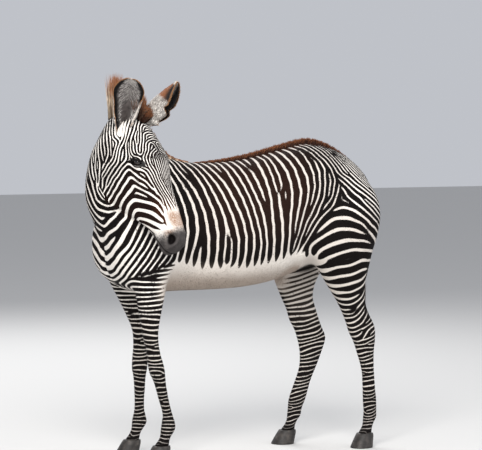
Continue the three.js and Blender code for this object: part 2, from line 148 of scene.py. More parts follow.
def refine(rows, steps):
    """Catmull-Rom: between rows q and r, q + u(r-p)/2 + u2(2p-5q+4r-s)/2 + u3(3q-p-3r+s)/2."""
    rows = np.asarray(rows, float)
    last = len(rows) - 1
    u = np.arange(last * steps + 1) / steps
    at = np.minimum(u.astype(int), last - 1)
    u = (u - at)[:, None]
    p, q = rows[np.maximum(at - 1, 0)], rows[at]
    r, s = rows[at + 1], rows[np.minimum(at + 2, last)]
    return 0.5 * (2 * q + (r - p) * u + (2 * p - 5 * q + 4 * r - s) * u**2
                  + (3 * q - p - 3 * r + s) * u**3)


def ring(centre, side, up, w, t, b, n=2.2, k=0.0):
    """A ring: centre, side and up axes, half-width, reach up, reach down, squareness, draw-in."""
    return [*centre, *side, *up, w, t, b, n, k]


def ring_points(rows, around):
    """Each ring is centre + side*w*across + up*rise*(t above, b below), rise = sgn(sin)|sin|^(2/n),
    across = sgn(cos)|cos|^(2/n) * (1 - |k|*max(0, the rise towards the drawn edge))."""
    c, side, up = rows[:, None, 0:3], unit(rows[:, None, 3:6]), unit(rows[:, None, 6:9])
    w, t, b, n, k = (rows[:, 9 + i, None] for i in range(5))
    angle = np.arange(around) / around * 2 * np.pi
    rise = np.sign(np.sin(angle)) * np.abs(np.sin(angle)) ** (2 / n)
    across = np.sign(np.cos(angle)) * np.abs(np.cos(angle)) ** (2 / n)
    across = across * (1 - np.abs(k) * np.maximum(0, np.where(k > 0, -rise, rise)))
    reach = rise * np.where(rise > 0, t, b)
    return c + side * (w * across)[..., None] + up * reach[..., None]


def tube(grid):
    """Points and quads of a closed skin over a grid of rings, its ends shut by fans."""
    rings, around = grid.shape[:2]
    points = np.concatenate([grid.reshape(-1, 3), grid[[0, -1]].mean(axis=1)])
    i, j = np.meshgrid(np.arange(rings - 1), np.arange(around), indexing="ij")
    a, b = i * around + j, i * around + (j + 1) % around
    quads = np.stack([a, a + around, b + around, b], -1).reshape(-1, 4).tolist()
    j, end = np.arange(around), (rings - 1) * around
    n = (j + 1) % around
    first, last = rings * around, rings * around + 1
    quads += np.stack([np.full(around, first), j, n], -1).tolist()
    quads += np.stack([np.full(around, last), end + n, end + j], -1).tolist()
    return points, quads


def loft(rows, around=64, steps=6, inset=COAT_DEPTH):
    """The grid of points of a row of rings, refined, each ring drawn in by `inset` for the hair."""
    rows = refine(rows, steps)
    rows[:, 9:12] = np.maximum(rows[:, 9:12] - inset, 2)
    return ring_points(rows, around)


def trunk_ring(x, top, belly, half_width, widest, n, k=0.0):
    """An upright ring across the trunk, widest at belly + widest * (top - belly)."""
    middle = belly + (top - belly) * widest
    return ring((x, 0, middle), (0, 1, 0), UP, half_width, top - middle, middle - belly, n, k)


TRUNK = [trunk_ring(*row) for row in (
    (-14, 1095, 978, 112, 0.5, 2.6), (0, 1180, 925, 178, 0.5, 2.6),
    (42, 1260, 872, 203, 0.5, 2.7), (130, 1335, 828, 206, 0.5, 2.5, 0.1),
    (245, 1405, 816, 215, 0.5, 2.3, 0.15), (390, 1455, 817, 236, 0.46, 2.1, 0.1),
    (545, 1456, 818, 262, 0.44, 2.05), (700, 1466, 824, 282, 0.43, 2.1),
    (847, 1494, 845, 284, 0.44, 2.15), (974, 1524, 882, 268, 0.5, 2.2),
    (1080, 1545, 920, 252, 0.58, 2.25), (1188, 1530, 960, 240, 0.6, 2.2),
    (1286, 1488, 1000, 218, 0.6, 2.2), (1362, 1432, 1045, 178, 0.58, 2.1),
    (1410, 1375, 1110, 118, 0.55, 2.1), (1426, 1330, 1165, 55, 0.5, 2.1),
)]


def neck_ring(crest, throat, turn, half_width, n, k):
    """A ring from the crest to the throat, round the middle of the two; its side axis is at the
    heading `turn`."""
    crest, throat = np.array(crest, float), np.array(throat, float)
    half = np.linalg.norm(crest - throat) / 2
    return ring((crest + throat) / 2, compass(turn), unit(crest - throat),
                half_width, half, half, n, k)


NECK = [neck_ring(*row) for row in (
    ((560, 0, 1440), (90, 0, 880), 90, 175, 2.2, -0.2),
    ((445, 0, 1456), (16, 0, 1010), 90, 176, 2.5, -0.25),
    ((310, 0, 1488), (-34, 0, 1140), 97, 154, 2.5, -0.3),
    ((165, -2, 1570), (-84, -30, 1262), 112, 116, 2.3, -0.35),
    ((64, -18, 1638), (-76, -104, 1362), 148, 90, 2.2, -0.35),
    ((20, -66, 1684), (-26, -192, 1420), 186, 82, 2.2, -0.3),
    ((40, -118, 1700), (26, -246, 1440), 204, 84, 2.3, -0.2),
    ((76, -172, 1690), (92, -286, 1446), 208, 76, 2.3, 0.0),
)]

POLL = np.array([85.0, -220.0, 1678.0])
HEAD_PITCH = math.radians(60.5)
HEAD_ALONG = compass(-60) * math.cos(HEAD_PITCH) - UP * math.sin(HEAD_PITCH)
HEAD_UP = compass(-60) * math.sin(HEAD_PITCH) + UP * math.cos(HEAD_PITCH)
HEAD_RIGHT = np.cross(HEAD_ALONG, HEAD_UP)


def head_point(along, up, right=0.0):
    """A point of the head: along from the poll, up to the forehead, out to the right."""
    along, up, right = (np.asarray(v, float)[..., None] for v in (along, up, right))
    return POLL + HEAD_ALONG * along + HEAD_UP * up + HEAD_RIGHT * right


def head_ring(along, top, jaw, widest, half_width, n, k):
    """A ring across the head, from the jaw up to the top, its middle at the height `widest`."""
    return ring(head_point(along, widest), HEAD_RIGHT, HEAD_UP,
                half_width, top - widest, widest - jaw, n, k)


HEAD = [head_ring(*row) for row in (
    (-22, -48, -150, -95, 40, 2.1, 0), (-6, -8, -210, -88, 70, 2.2, 0.1),
    (40, 16, -256, -72, 84, 2.4, 0.15), (100, 26, -300, -62, 93, 2.5, 0.24),
    (160, 31, -328, -55, 102, 2.6, 0.32), (215, 31, -342, -52, 104, 2.7, 0.37),
    (270, 22, -336, -62, 96, 2.7, 0.37), (330, 8, -312, -80, 82, 2.6, 0.34),
    (400, -2, -267, -92, 66, 2.5, 0.3), (470, -9, -222, -98, 56, 2.5, 0.26),
    (530, -18, -200, -102, 55, 2.4, 0.22), (585, -33, -188, -106, 61, 2.4, 0.2),
    (630, -56, -180, -112, 59, 2.4, 0.22), (654, -84, -166, -120, 44, 2.2, 0.2),
    (668, -104, -144, -122, 22, 2.1, 0.1),
)]

# Each leg's levels are height, front X, back X, Y and half-width; then the middle of its fetlock
# and how far its toe turns out.
LEG_LEVELS = {
    "foreleg_left": (
        (1240, 124, 328, -120, 60), (1140, 84, 344, -136, 82), (1040, 59, 337, -145, 90),
        (950, 66, 294, -145, 84), (870, 90, 266, -140, 72), (790, 110, 253, -133, 62),
        (700, 126, 237, -128, 52), (620, 142, 227, -125, 45), (540, 163, 236, -124, 42),
        (470, 172, 256, -124, 47), (425, 182, 264, -124, 48), (385, 202, 268, -124, 39),
        (300, 225, 285, -124, 30), (225, 247, 305, -124, 30)),
    "foreleg_right": (
        (1240, 110, 315, 120, 60), (1140, 68, 329, 136, 82), (1040, 39, 321, 145, 90),
        (950, 41, 302, 145, 84), (870, 74, 283, 140, 72), (790, 115, 279, 135, 62),
        (700, 160, 277, 131, 52), (620, 194, 277, 130, 45), (540, 199, 273, 130, 42),
        (470, 194, 277, 130, 47), (425, 193, 275, 130, 48), (385, 199, 268, 130, 39),
        (300, 203, 264, 130, 30), (225, 203, 262, 130, 30)),
    "hindleg_left": (
        (1420, 1155, 1302, -105, 60), (1320, 1088, 1402, -128, 100),
        (1200, 1042, 1438, -138, 122), (1090, 1021, 1421, -143, 128),
        (1000, 1037, 1391, -146, 116), (916, 1092, 1370, -148, 98),
        (832, 1144, 1352, -146, 78), (752, 1198, 1358, -141, 62), (690, 1230, 1380, -136, 50),
        (635, 1254, 1414, -132, 44), (589, 1270, 1426, -131, 47), (538, 1299, 1424, -130, 45),
        (480, 1318, 1419, -130, 38), (401, 1342, 1420, -131, 32), (321, 1349, 1425, -132, 31),
        (240, 1351, 1433, -133, 32)),
    "hindleg_right": (
        (1420, 1144, 1290, 105, 60), (1320, 1065, 1388, 128, 100),
        (1200, 1002, 1417, 138, 122), (1090, 966, 1385, 143, 128), (1000, 956, 1332, 146, 116),
        (916, 972, 1276, 148, 98), (832, 995, 1221, 146, 78), (752, 1025, 1204, 142, 62),
        (690, 1052, 1222, 138, 52), (636, 1064, 1239, 134, 44), (592, 1090, 1256, 133, 46),
        (540, 1108, 1276, 131, 46), (480, 1121, 1258, 130, 41), (400, 1121, 1226, 130, 35),
        (320, 1094, 1190, 130, 32), (235, 1061, 1164, 130, 33)),
}
FETLOCKS = {"foreleg_left": (281, -124, 6), "foreleg_right": (233, 131, -6),
            "hindleg_left": (1395, -133, 20), "hindleg_right": (1096, 130, -8)}
# Below the fetlock: height, how far ahead of the fetlock, half-depth and half-width.
PASTERN = ((176, 0, 41, 34), (150, 2, 43, 36), (122, 13, 33, 32), (96, 26, 32, 32),
           (72, 38, 42, 39))
LEG_END = 60  # the hide ends inside the hoof


def leg_ring(z, front, back, y, half_width):
    """A level ring across a leg, its middle at (front + back) / 2 and half as deep as back - front."""
    half = (back - front) / 2
    return ring(((front + back) / 2, y, z), compass(90), compass(180), half_width, half, half)


def leg_rows(leg):
    """A leg's rings from its top to inside the hoof; below the fetlock they face where its toe
    points."""
    x, y, toe = FETLOCKS[leg]
    ahead = compass(180 + toe)
    rows = [leg_ring(*level) for level in LEG_LEVELS[leg]]
    for z, forward, half, width in PASTERN:
        middle = np.array([x, y, z]) + ahead * forward
        rows.append(ring(middle, compass(90 + toe), ahead, width, half, half, 2.1))
    bottom = list(rows[-1])
    bottom[2] = LEG_END
    return rows + [bottom]


def tail_ring(x, y, z, w, t):
    """A ring across the hanging tail, w to each side and t to the front and back."""
    return ring((x, y, z), (0, 1, 0), (1, 0, 0.25), w, t, t, 2.0)


DOCK = [
    ring((1365, 0, 1395), (0, 1, 0), (0.55, 0, 1), 42, 34, 34, 2.0),
    ring((1415, 2, 1362), (0, 1, 0), (0.8, 0, 1), 34, 28, 28, 2.0),
    tail_ring(1446, 8, 1300, 27, 25), tail_ring(1454, 24, 1190, 23, 22),
    tail_ring(1444, 40, 1070, 21, 20), tail_ring(1432, 50, 950, 19, 18),
]

lofts = [loft(TRUNK), loft(NECK), loft(HEAD), loft(DOCK, 32)]
lofts += [loft(leg_rows(leg), 48) for leg in LEG_LEVELS]
all_points, all_faces, start = [], [], 0
for grid in lofts:
    points, faces = tube(grid)
    all_points.append(points)
    all_faces += [[v + start for v in face] for face in faces]
    start += len(points)
hide = mesh_object("hide", to_frame(np.concatenate(all_points)), all_faces)

shrink = hide.modifiers.new("draw over", "REMESH")
shrink.mode = "VOXEL"
shrink.voxel_size = VOXEL
shrink.use_smooth_shade = True
depsgraph = bpy.context.evaluated_depsgraph_get()
drawn = bpy.data.meshes.new_from_object(hide.evaluated_get(depsgraph))
hide.modifiers.clear()
hide.data = drawn


def mesh_arrays(mesh):
    """A mesh's points and the two ends of each edge."""
    points = np.empty(len(mesh.vertices) * 3)
    mesh.vertices.foreach_get("co", points)
    edges = np.empty(len(mesh.edges) * 2, int)
    mesh.edges.foreach_get("vertices", edges)
    return points.reshape(-1, 3), edges.reshape(-1, 2)


def settle(points, edges, rounds, inward, outward):
    """Each round moves a point towards the mean of its neighbours, by the share `outward` where
    that mean lies outside the surface and by `inward` where it lies inside."""
    count = np.bincount(edges.ravel(), minlength=len(points))[:, None]
    a, b = edges.T
    for _ in range(rounds):
        total = np.stack([
            np.bincount(a, points[b, i], len(points)) + np.bincount(b, points[a, i], len(points))
            for i in range(3)], -1)
        pull = total / count - points
        normal = point_normals(points)
        out = (pull * normal).sum(-1, keepdims=True)
        points = points + pull * np.where(out > 0, outward, inward)
    return points


def point_normals(points):
    """The mean of the normals of the faces round each point, weighted by area."""
    corner = points[hide_quads]
    across = np.cross(corner[:, 2] - corner[:, 0], corner[:, 3] - corner[:, 1])
    total = np.stack([
        sum(np.bincount(hide_quads[:, j], across[:, i], len(points)) for j in range(4))
        for i in range(3)], -1)
    return unit(total)


def face_array(mesh):
    """Every face as four corners; a triangle repeats its last corner."""
    starts = np.empty(len(mesh.polygons), int)
    totals = np.empty(len(mesh.polygons), int)
    mesh.polygons.foreach_get("loop_start", starts)
    mesh.polygons.foreach_get("loop_total", totals)
    corners = np.empty(len(mesh.loops), int)
    mesh.loops.foreach_get("vertex_index", corners)
    return corners[starts[:, None] + np.minimum(np.arange(4), totals[:, None] - 1)]


def split_faces(mesh, inside):
    """Each face whose corners all satisfy inside(points) is split into four."""
    soft = bmesh.new()
    soft.from_mesh(mesh)
    kept = inside(np.array([v.co for v in soft.verts]))
    edges = [e for e in soft.edges if kept[e.verts[0].index] and kept[e.verts[1].index]]
    bmesh.ops.subdivide_edges(soft, edges=edges, cuts=1, use_grid_fill=True)
    bmesh.ops.triangulate(soft, faces=[f for f in soft.faces if len(f.verts) > 4])
    soft.to_mesh(mesh)
    soft.free()


def head_places(points):
    """Frame points in metres as (along, up, right) of the head, in millimetres."""
    away = np.asarray(points) * 1000 - CHEST_FRONT - POLL
    return np.stack([away @ HEAD_ALONG, away @ HEAD_UP, away @ HEAD_RIGHT], -1)


def on_face(points):
    """Where the hide's mesh is finer: a box round the face."""
    along, up, right = head_places(points).T
    return (along > 0) & (along < 690) & (np.abs(right) < 125) & (up < 60) & (up > -360)


def on_nose_or_lid(points):
    """Where it is finest: a box round each nostril, and a disc of 44 mm round each eye."""
    along, up, right = head_places(points).T
    nose = (along > 578) & (along < 656) & (np.abs(right) > 20) & (np.abs(right) < 80)
    nose &= (up > -108) & (up < -40)
    lid = (np.hypot(along - 214, up + 44) < 44) & (np.abs(right) > 60) & (np.abs(right) < 130)
    return nose | lid


split_faces(drawn, on_face)
split_faces(drawn, on_nose_or_lid)
hide_quads = face_array(drawn)
points, edges = mesh_arrays(drawn)
points = settle(points, edges, rounds=30, inward=0.12, outward=0.6)

# The forms under the skin, made on both sides: (x, y, z), the reach along x, y and z, and the
# height, all in millimetres; those of the face are along, up and right in place of x, y and z.
MUSCLES = (
    (305, 215, 1270, 45, 80, 150, 9), (200, 205, 1190, 45, 70, 130, -6),
    (95, 190, 1085, 60, 70, 70, 9), (310, 205, 1000, 75, 70, 85, 9),
    (410, 225, 955, 45, 70, 110, -8), (1000, 235, 1190, 55, 80, 120, -14),
    (1115, 220, 1450, 55, 60, 40, 8), (1250, 235, 1170, 110, 70, 140, 9),
    (1010, 215, 985, 55, 60, 34, 12), (960, 200, 940, 50, 60, 30, -8),
    (1330, 150, 1250, 30, 60, 130, -6), (1240, 190, 860, 60, 60, 90, 6),
    (60, 80, 1010, 60, 55, 90, 8), (640, 250, 1150, 40, 80, 190, 2),
    (740, 250, 1150, 40, 80, 190, 2), (840, 240, 1150, 40, 80, 180, 2),
    (560, 240, 1150, 36, 80, 180, 2),
)
FACE_FORMS = (
    (196, -14, 88, 34, 15, 26, 7), (232, -8, 84, 22, 12, 20, 4), (300, -86, 86, 66, 12, 22, 6),
    (230, -205, 78, 80, 80, 34, 5), (140, 2, 78, 26, 16, 22, -6), (410, -66, 54, 80, 20, 22, -5),
    (330, -165, 60, 40, 40, 22, -4), (640, -166, 10, 26, 14, 34, 5), (632, -90, 26, 30, 26, 30, 4),
    (545, -172, 44, 16, 10, 14, -3), (212, -46, 92, 40, 40, 26, 5), (600, -118, 56, 30, 12, 16, 3),
    (18, -58, 86, 26, 34, 26, 9), (610, -182, 30, 40, 14, 20, 4),
)
EYE_BALL = np.array([216.0, -43.0, 88.0])
SLIT_LONG = np.array([0.66, 0.75])  # the slit's own line, in along and up
SLIT_OVER = np.array([-0.75, 0.66])  # towards the upper lid
SLIT_SIZES = (27.0, 12.5, 10.5)  # half-length, height of the upper half, height of the lower
CHEEK_AT_EYE, LID_REACH = 100.0, 3.2  # out to the right, and in slit-sizes
NOSTRIL_AT = np.array([615.0, -76.0, 49.0])
NOSTRIL_LONG, NOSTRIL_WIDE = np.array([0.92, -0.38, 0.0]), np.array([0.39, 0.66, -0.64])
NOSTRIL_SIZES, NOSTRIL_BEND = (30, 23), 0.010  # half-length and half-width
MOUTH_CORNER, MOUTH_RISE = (532, -183), 0.335  # along and up, and the rise of its line forwards
CHEST_CLEFT = np.array([-14, -4, 950])


def slit_place(place):
    """Along the slit, over it towards the upper lid, and how many slit-sizes from its middle."""
    away = place[:, :2] - EYE_BALL[:2]
    long, over = away @ SLIT_LONG, away @ SLIT_OVER
    length, upper, lower = SLIT_SIZES
    return long, over, np.hypot(long / length, over / np.where(over > 0, upper, lower))


def lid_height(long, over, extra):
    """How far right a lid stands: the smooth maximum of the cheek and a sphere of 28 mm round the
    ball, (a + b + sqrt((a - b)^2 + 16)) / 2, each raised by extra."""
    sphere = EYE_BALL[2] + np.sqrt(np.maximum((28 + extra) ** 2 - long**2 - over**2, 0))
    cheek = CHEEK_AT_EYE + extra
    return (cheek + sphere + np.sqrt((cheek - sphere) ** 2 + 16)) / 2


def nostril_place(place):
    """How far across a nostril a place is, wide + bend * long^2, and how many nostril-sizes from
    its middle, sqrt((long / 30)^2 + (across / 23)^2)."""
    long = (place - NOSTRIL_AT) @ NOSTRIL_LONG
    across = (place - NOSTRIL_AT) @ NOSTRIL_WIDE + NOSTRIL_BEND * long**2
    return across, np.sqrt((long / NOSTRIL_SIZES[0]) ** 2 + (across / NOSTRIL_SIZES[1]) ** 2)


def over_mouth(along, up):
    """How far up a place is from the line of the mouth, which rises by MOUTH_RISE per step along."""
    return up - (MOUTH_CORNER[1] + (along - MOUTH_CORNER[0]) * MOUTH_RISE)


def swell(points, away, sizes, height):
    """Points move out along their normals by height * exp(-|away / sizes|^2)."""
    bump = height / 1000 * np.exp(-((away / sizes) ** 2).sum(-1))
    return points + point_normals(points) * bump[:, None]


for x, y, z, rx, ry, rz, height in MUSCLES:
    for side in (1, -1):
        away = points * 1000 - CHEST_FRONT - (x, side * y, z)
        points = swell(points, away, (rx, ry, rz), height)
for along, up, right, ra, ru, rr, height in FACE_FORMS:
    for side in (1, -1):
        away = head_places(points) - (along, up, side * right)
        points = swell(points, away, (ra, ru, rr), height)
points = swell(points, points * 1000 - CHEST_FRONT - CHEST_CLEFT, (50, 16, 110), -13)
for side in (1, -1):
    # The nostril is a comma-shaped pit 24 mm deep with a rim raised by 5 mm, and the mouth a
    # groove 5 mm deep that runs back from the lips.
    place = head_places(points) * (1, 1, side)
    own = (place[:, 2] > 2) & (place[:, 2] < 130)
    _, inside = nostril_place(place)
    depth = 5.0 * np.exp(-(((inside - 1.3) / 0.35) ** 2)) - 24 * np.exp(-((inside / 0.88) ** 4))
    points = points + point_normals(points) * (own * depth)[:, None] / 1000
    along, up, right = place.T
    groove = np.exp(-((over_mouth(along, up) / 4.5) ** 2)) * np.clip((along - 528) / 16, 0, 1)
    groove *= (along < 672) & (np.abs(right) < 130)
    points = points - point_normals(points) * groove[:, None] * 0.005
    # The lids: skin round the ball out to the slit's edge, a crease over the upper one, and the
    # skin inside the slit drawn in behind the ball.
    place = head_places(points) * (1, 1, side)
    long, over, sizes = slit_place(place)
    own = (place[:, 2] > 60) & (place[:, 2] < 130) & (sizes < LID_REACH)
    share = np.clip((LID_REACH - sizes) / 1.2, 0, 1)
    stand = lid_height(long, over, 0.0) - CHEEK_AT_EYE
    raised = place[:, 2] + stand * share * share * (3 - 2 * share)
    raised -= 2.4 * np.exp(-(((sizes - 2.15) / 0.22) ** 2)) * (over > -4)
    raised -= 1.6 * np.exp(-(((sizes - 1.95) / 0.22) ** 2)) * (over < -4)
    edge = np.clip(1 / np.maximum(sizes, 0.1), 1, 1.35)
    hidden = sizes < 0.76
    new = np.where(hidden, 90, raised)
    slide = np.where(hidden, 1, edge) - 1
    flat = (long * slide)[:, None] * SLIT_LONG + (over * slide)[:, None] * SLIT_OVER
    step = flat[:, :1] * HEAD_ALONG + flat[:, 1:] * HEAD_UP
    step += ((new - place[:, 2]) * side)[:, None] * HEAD_RIGHT
    points = points + own[:, None] * step / 1000
drawn.vertices.foreach_set("co", points.ravel())

# ---- The markings: dark stripes on cream. The guide rows below are courses of the white lines,
# each with the spacing of the stripes there. Most of their points are a line tracer's own numbers,
# picked and joined. A field of directions and spacings is spread from them over the hide,
# and a wave is settled along it, so that stripes run on, fork and end as grown ones do.
# Rows of the trunk and hind leg are (spacing, x, z, x, z, ...) on the left side.
SIDE_ROWS = (
    (36, 310, 1305, 300, 1385), (38, 335, 1050, 342, 1115, 338, 1200, 312, 1306),
    (34, 342, 1337, 310, 1455), (30, 372, 1370, 325, 1475),
    (46, 376, 1040, 390, 1112, 388, 1202, 374, 1286, 345, 1380),
    (44, 450, 1000, 446, 1105, 433, 1201, 405, 1288, 372, 1368),
    (44, 495, 990, 492, 1104, 476, 1225, 440, 1356, 405, 1440), (46, 530, 985, 534, 1147),
    (44, 564, 960, 562, 1067, 525, 1202, 475, 1356, 441, 1440),
    (44, 600, 950, 594, 1097, 571, 1195, 517, 1354, 472, 1445),
    (42, 635, 950, 635, 1095, 615, 1189, 557, 1354, 512, 1452),
    (38, 674, 956, 677, 1099, 651, 1207, 610, 1358, 585, 1450),
    (36, 714, 962, 714, 1072, 676, 1257, 647, 1356, 625, 1452),
    (38, 746, 963, 747, 1033, 716, 1244, 684, 1359, 665, 1455),
    (42, 785, 965, 780, 1110, 772, 1301, 769, 1375, 763, 1468),
    (44, 834, 970, 828, 1123, 820, 1225, 823, 1300),
    (30, 823, 1300, 811, 1330, 808, 1438, 812, 1480),
    (30, 824, 1302, 840, 1325, 846, 1368, 838, 1480),
    (42, 868, 1000, 872, 1144, 893, 1338, 890, 1408, 870, 1492),
    (38, 893, 1055, 906, 1160, 945, 1306, 934, 1436, 910, 1505),
    (36, 905, 1040, 939, 1173, 985, 1277, 988, 1374, 955, 1520),
    (32, 925, 1020, 946, 1094, 1018, 1226, 1051, 1314, 1059, 1415, 1048, 1475),
    (30, 1000, 1249, 1025, 1334, 1024, 1400, 1003, 1520),
    (28, 1028, 1181, 1073, 1285, 1088, 1427, 1049, 1506),
    (25, 1072, 1224, 1117, 1273, 1142, 1368, 1120, 1428, 1063, 1533),
    (30, 956, 1020, 1047, 1165, 1081, 1203, 1125, 1231, 1164, 1336),
    (25, 1410, 1215, 1256, 1326, 1160, 1405, 1105, 1512),
    (23, 1398, 1258, 1288, 1334, 1189, 1400, 1128, 1514),
    (20, 1392, 1283, 1343, 1320, 1239, 1399, 1196, 1473), (19, 1382, 1318, 1288, 1401, 1237, 1450),
    (18, 1344, 1350, 1266, 1398, 1205, 1478), (24, 1407, 1160, 1343, 1215, 1173, 1363),
    (28, 1403, 1133, 1339, 1181, 1244, 1252, 1210, 1278, 1166, 1341), (32, 1398, 1097, 1285, 1167),
    (42, 1118, 1210, 1180, 1233, 1242, 1207, 1325, 1152),
    (50, 1063, 1117, 1127, 1175, 1211, 1173, 1271, 1148, 1328, 1101, 1385, 1054),
    (54, 1030, 973, 1008, 1015, 1014, 1036, 1066, 1079, 1115, 1112, 1152, 1124, 1220, 1120, 1310,
     1088, 1346, 1064),
    (54, 1054, 985, 1066, 1018, 1112, 1045, 1201, 1065, 1303, 1057, 1350, 1040),
    (50, 1091, 971, 1124, 984, 1166, 1000, 1238, 1018, 1308, 1011, 1340, 1002),
    (46, 1100, 905, 1151, 925, 1224, 936, 1299, 964, 1335, 958),
    (44, 1136, 868, 1170, 883, 1242, 890, 1292, 908, 1330, 908),
    (40, 1150, 822, 1196, 832, 1244, 847, 1305, 861, 1337, 885),
    (36, 1182, 792, 1247, 794, 1304, 821, 1335, 845),
    (31, 1205, 728, 1241, 726, 1295, 754, 1342, 800), (26, 1244, 658, 1283, 666, 1337, 722),
    (25, 1256, 631, 1281, 633, 1315, 652, 1339, 703),
    (24, 1308, 540, 1323, 553, 1362, 594, 1408, 618),
)
# Rows of the neck, shoulder and chest are (spacing, x, y, z, ...); the first group is of the left
# side and is made again on the right, and the second crosses the chest.
NECK_ROWS = (
    (26, -95, -95, 1385, -105, -95, 1435, -100, -75, 1485, -95, -85, 1520),
    (20, -45, -90, 1280, -75, -80, 1330, -90, -115, 1385, -100, -120, 1450, -100, -120, 1495, -80,
     -90, 1555),
    (27, -35, -85, 1255, -70, -55, 1280, -100, -80, 1360, -110, -75, 1390, -105, -45, 1455),
    (20, -40, -90, 1295, -70, -90, 1340, -85, -140, 1410, -90, -155, 1460, -85, -120, 1545, -70,
     -100, 1570), (20, -80, -180, 1475, -85, -145, 1550, -65, -105, 1595),
    (18, -75, -190, 1470, -65, -210, 1510, -65, -185, 1565, -35, -120, 1640, -20, -85, 1665),
    (15, -55, -220, 1490, -45, -190, 1590),
    (17, -40, -210, 1580, -30, -230, 1565, -45, -235, 1525, -55, -225, 1485, -75, -150, 1405, -70,
     -130, 1385),
    (16, -25, -240, 1545, -40, -240, 1490, -50, -225, 1460, -65, -125, 1380, -55, -105, 1350),
    (16, -5, -255, 1565, -25, -250, 1530, -30, -250, 1470, -40, -215, 1435, -40, -135, 1385, -45,
     -95, 1320), (30, 115, -200, 1160, 50, -200, 1045, 15, -190, 1010, 10, -175, 995),
    (28, 120, -200, 1110, 60, -195, 995, 25, -165, 945),
    (26, 145, -220, 1075, 65, -180, 945, 40, -125, 895), (27, 135, -205, 1125, 85, -195, 995),
    (25, 160, -225, 1065, 125, -220, 1010, 85, -195, 950),
)
CHEST_ROWS = (
    (38, 25, -120, 1235, -20, -95, 1220, -60, -45, 1235, -105, -45, 1330, -110, -20, 1395),
    (38, 30, -125, 1235, -10, -85, 1180, -20, -45, 1145, -45, -5, 1170, -80, 25, 1235),
    (52, 45, -160, 1215, 45, -170, 1200, 0, -145, 1145, -10, -75, 1115, -15, -25, 1085, -15, 30,
     1080, -20, 65, 1110, 0, 150, 1130),
    (52, 70, -185, 1195, 15, -190, 1095, -15, -120, 1020, -15, -55, 990, -15, 5, 1010, -15, 65,
     1060, -5, 155, 1085),
)
# Rows of the head are (spacing, along, up, right, ...) and are mirrored.
HEAD_ROWS = (
    (19, 105, -66, 93, 171, -90, 101, 179, -127, 98, 188, -172, 86, 213, -299, 48),
    (20, 193, -136, 90, 209, -180, 83, 239, -316, 36),
    (26, 276, -75, 92, 222, -103, 96, 215, -113, 95, 253, -247, 63, 261, -323, 30),
    (24, 276, -75, 92, 293, -67, 90, 321, -53, 82, 368, -44, 67, 441, -45, 52),
    (30, 312, -82, 86, 292, -102, 86, 265, -113, 89, 254, -130, 88, 283, -244, 61, 297, -317, 24),
    (36, 337, -297, 23, 326, -269, 43, 309, -192, 68, 306, -152, 75, 293, -129, 82, 319, -111, 80),
    (28, 319, -111, 80, 354, -85, 76, 393, -59, 65, 450, -49, 52, 517, -54, 48),
    (44, 374, -275, 21, 359, -240, 44, 346, -182, 63, 373, -141, 64, 416, -96, 63),
    (34, 416, -96, 63, 439, -73, 58, 490, -66, 54),
    (42, 410, -255, 25, 392, -215, 50, 412, -165, 54, 440, -127, 56, 465, -105, 55),
    (36, 430, -245, 10, 425, -215, 30, 470, -165, 45, 511, -122, 50, 530, -102, 52),
    (28, 463, -219, 18, 486, -191, 31, 526, -168, 39),
    (22, 189, -101, 97, 202, -83, 99, 226, -74, 100, 243, -58, 101, 271, -32, 93, 296, -28, 84,
     366, -35, 65, 416, -32, 51, 490, -39, 45),
    (13, 263, -25, 93, 267, -12, 86, 358, -23, 60, 429, -21, 41, 475, -30, 40),
    (14, 190, 31, 9, 152, 29, 10, 143, 27, 32, 195, 19, 69, 213, 7, 86, 226, 3, 87, 358, -15, 54,
     457, -13, 25, 490, -20, 27),
    (14, 178, 31, 14, 201, 24, 56, 239, 9, 77, 287, 6, 59, 356, -7, 45, 478, -11, 7),
    (13, 194, 31, 12, 202, 29, 40, 216, 26, 49, 240, 21, 53, 340, 0, 38, 408, -4, 12),
    (13, 222, 27, 30, 255, 22, 24, 300, 12, 20, 350, 2, 14),
    (13, 235, 26, 8, 300, 12, 6, 380, 0, 5),
    (15, 56, 7, 52, 97, -11, 81, 149, -15, 94, 171, -23, 99, 192, -15, 99, 197, -7, 95, 191, 2,
     90, 135, 15, 66, 92, 21, 37, 92, 23, 21),
    (14, 178, -10, 94, 147, 2, 84, 109, 13, 62, 60, 14, 39, 44, 16, 12),
    (12, 55, 9, 48, 84, 7, 62, 127, -4, 84),
    (16, -6, -9, 4, 17, 2, 32, 55, -3, 64, 83, -23, 84, 140, -53, 99, 178, -49, 103, 191, -31,
     102), (16, 12, -7, 45, 58, -23, 78, 89, -54, 90),
    (13, 191, 5, 88, 182, 15, 73, 153, 20, 62, 138, 24, 47, 128, 28, 12),
)
STEP = 8  # millimetres between the samples of a row


def samples(path):
    """Even points along a broken line and the line's direction at each."""
    gaps = np.linalg.norm(np.diff(path, axis=0), axis=1)
    reach = np.concatenate([[0], np.cumsum(gaps)])
    at = np.linspace(0, reach[-1], max(3, int(reach[-1] / STEP) + 1))
    even = np.stack([np.interp(at, reach, path[:, i]) for i in range(3)], -1)
    for _ in range(2):
        even[1:-1] = (even[:-2] + 2 * even[1:-1] + even[2:]) / 4
    return even, unit(np.gradient(even, axis=0))


body_mm = points * 1000 - CHEST_FRONT
normals = point_normals(points)
tree = mathutils.kdtree.KDTree(len(points))
for index, place in enumerate(points):
    tree.insert(place, index)
tree.balance()


def nearest(spots):
    """The hide's nearest point to each spot in millimetres, and how far off it is."""
    found = [tree.find(spot) for spot in to_frame(spots)]
    return np.array([f[1] for f in found]), np.array([f[2] for f in found]) * 1000


left = np.flatnonzero(body_mm[:, 1] < 0)


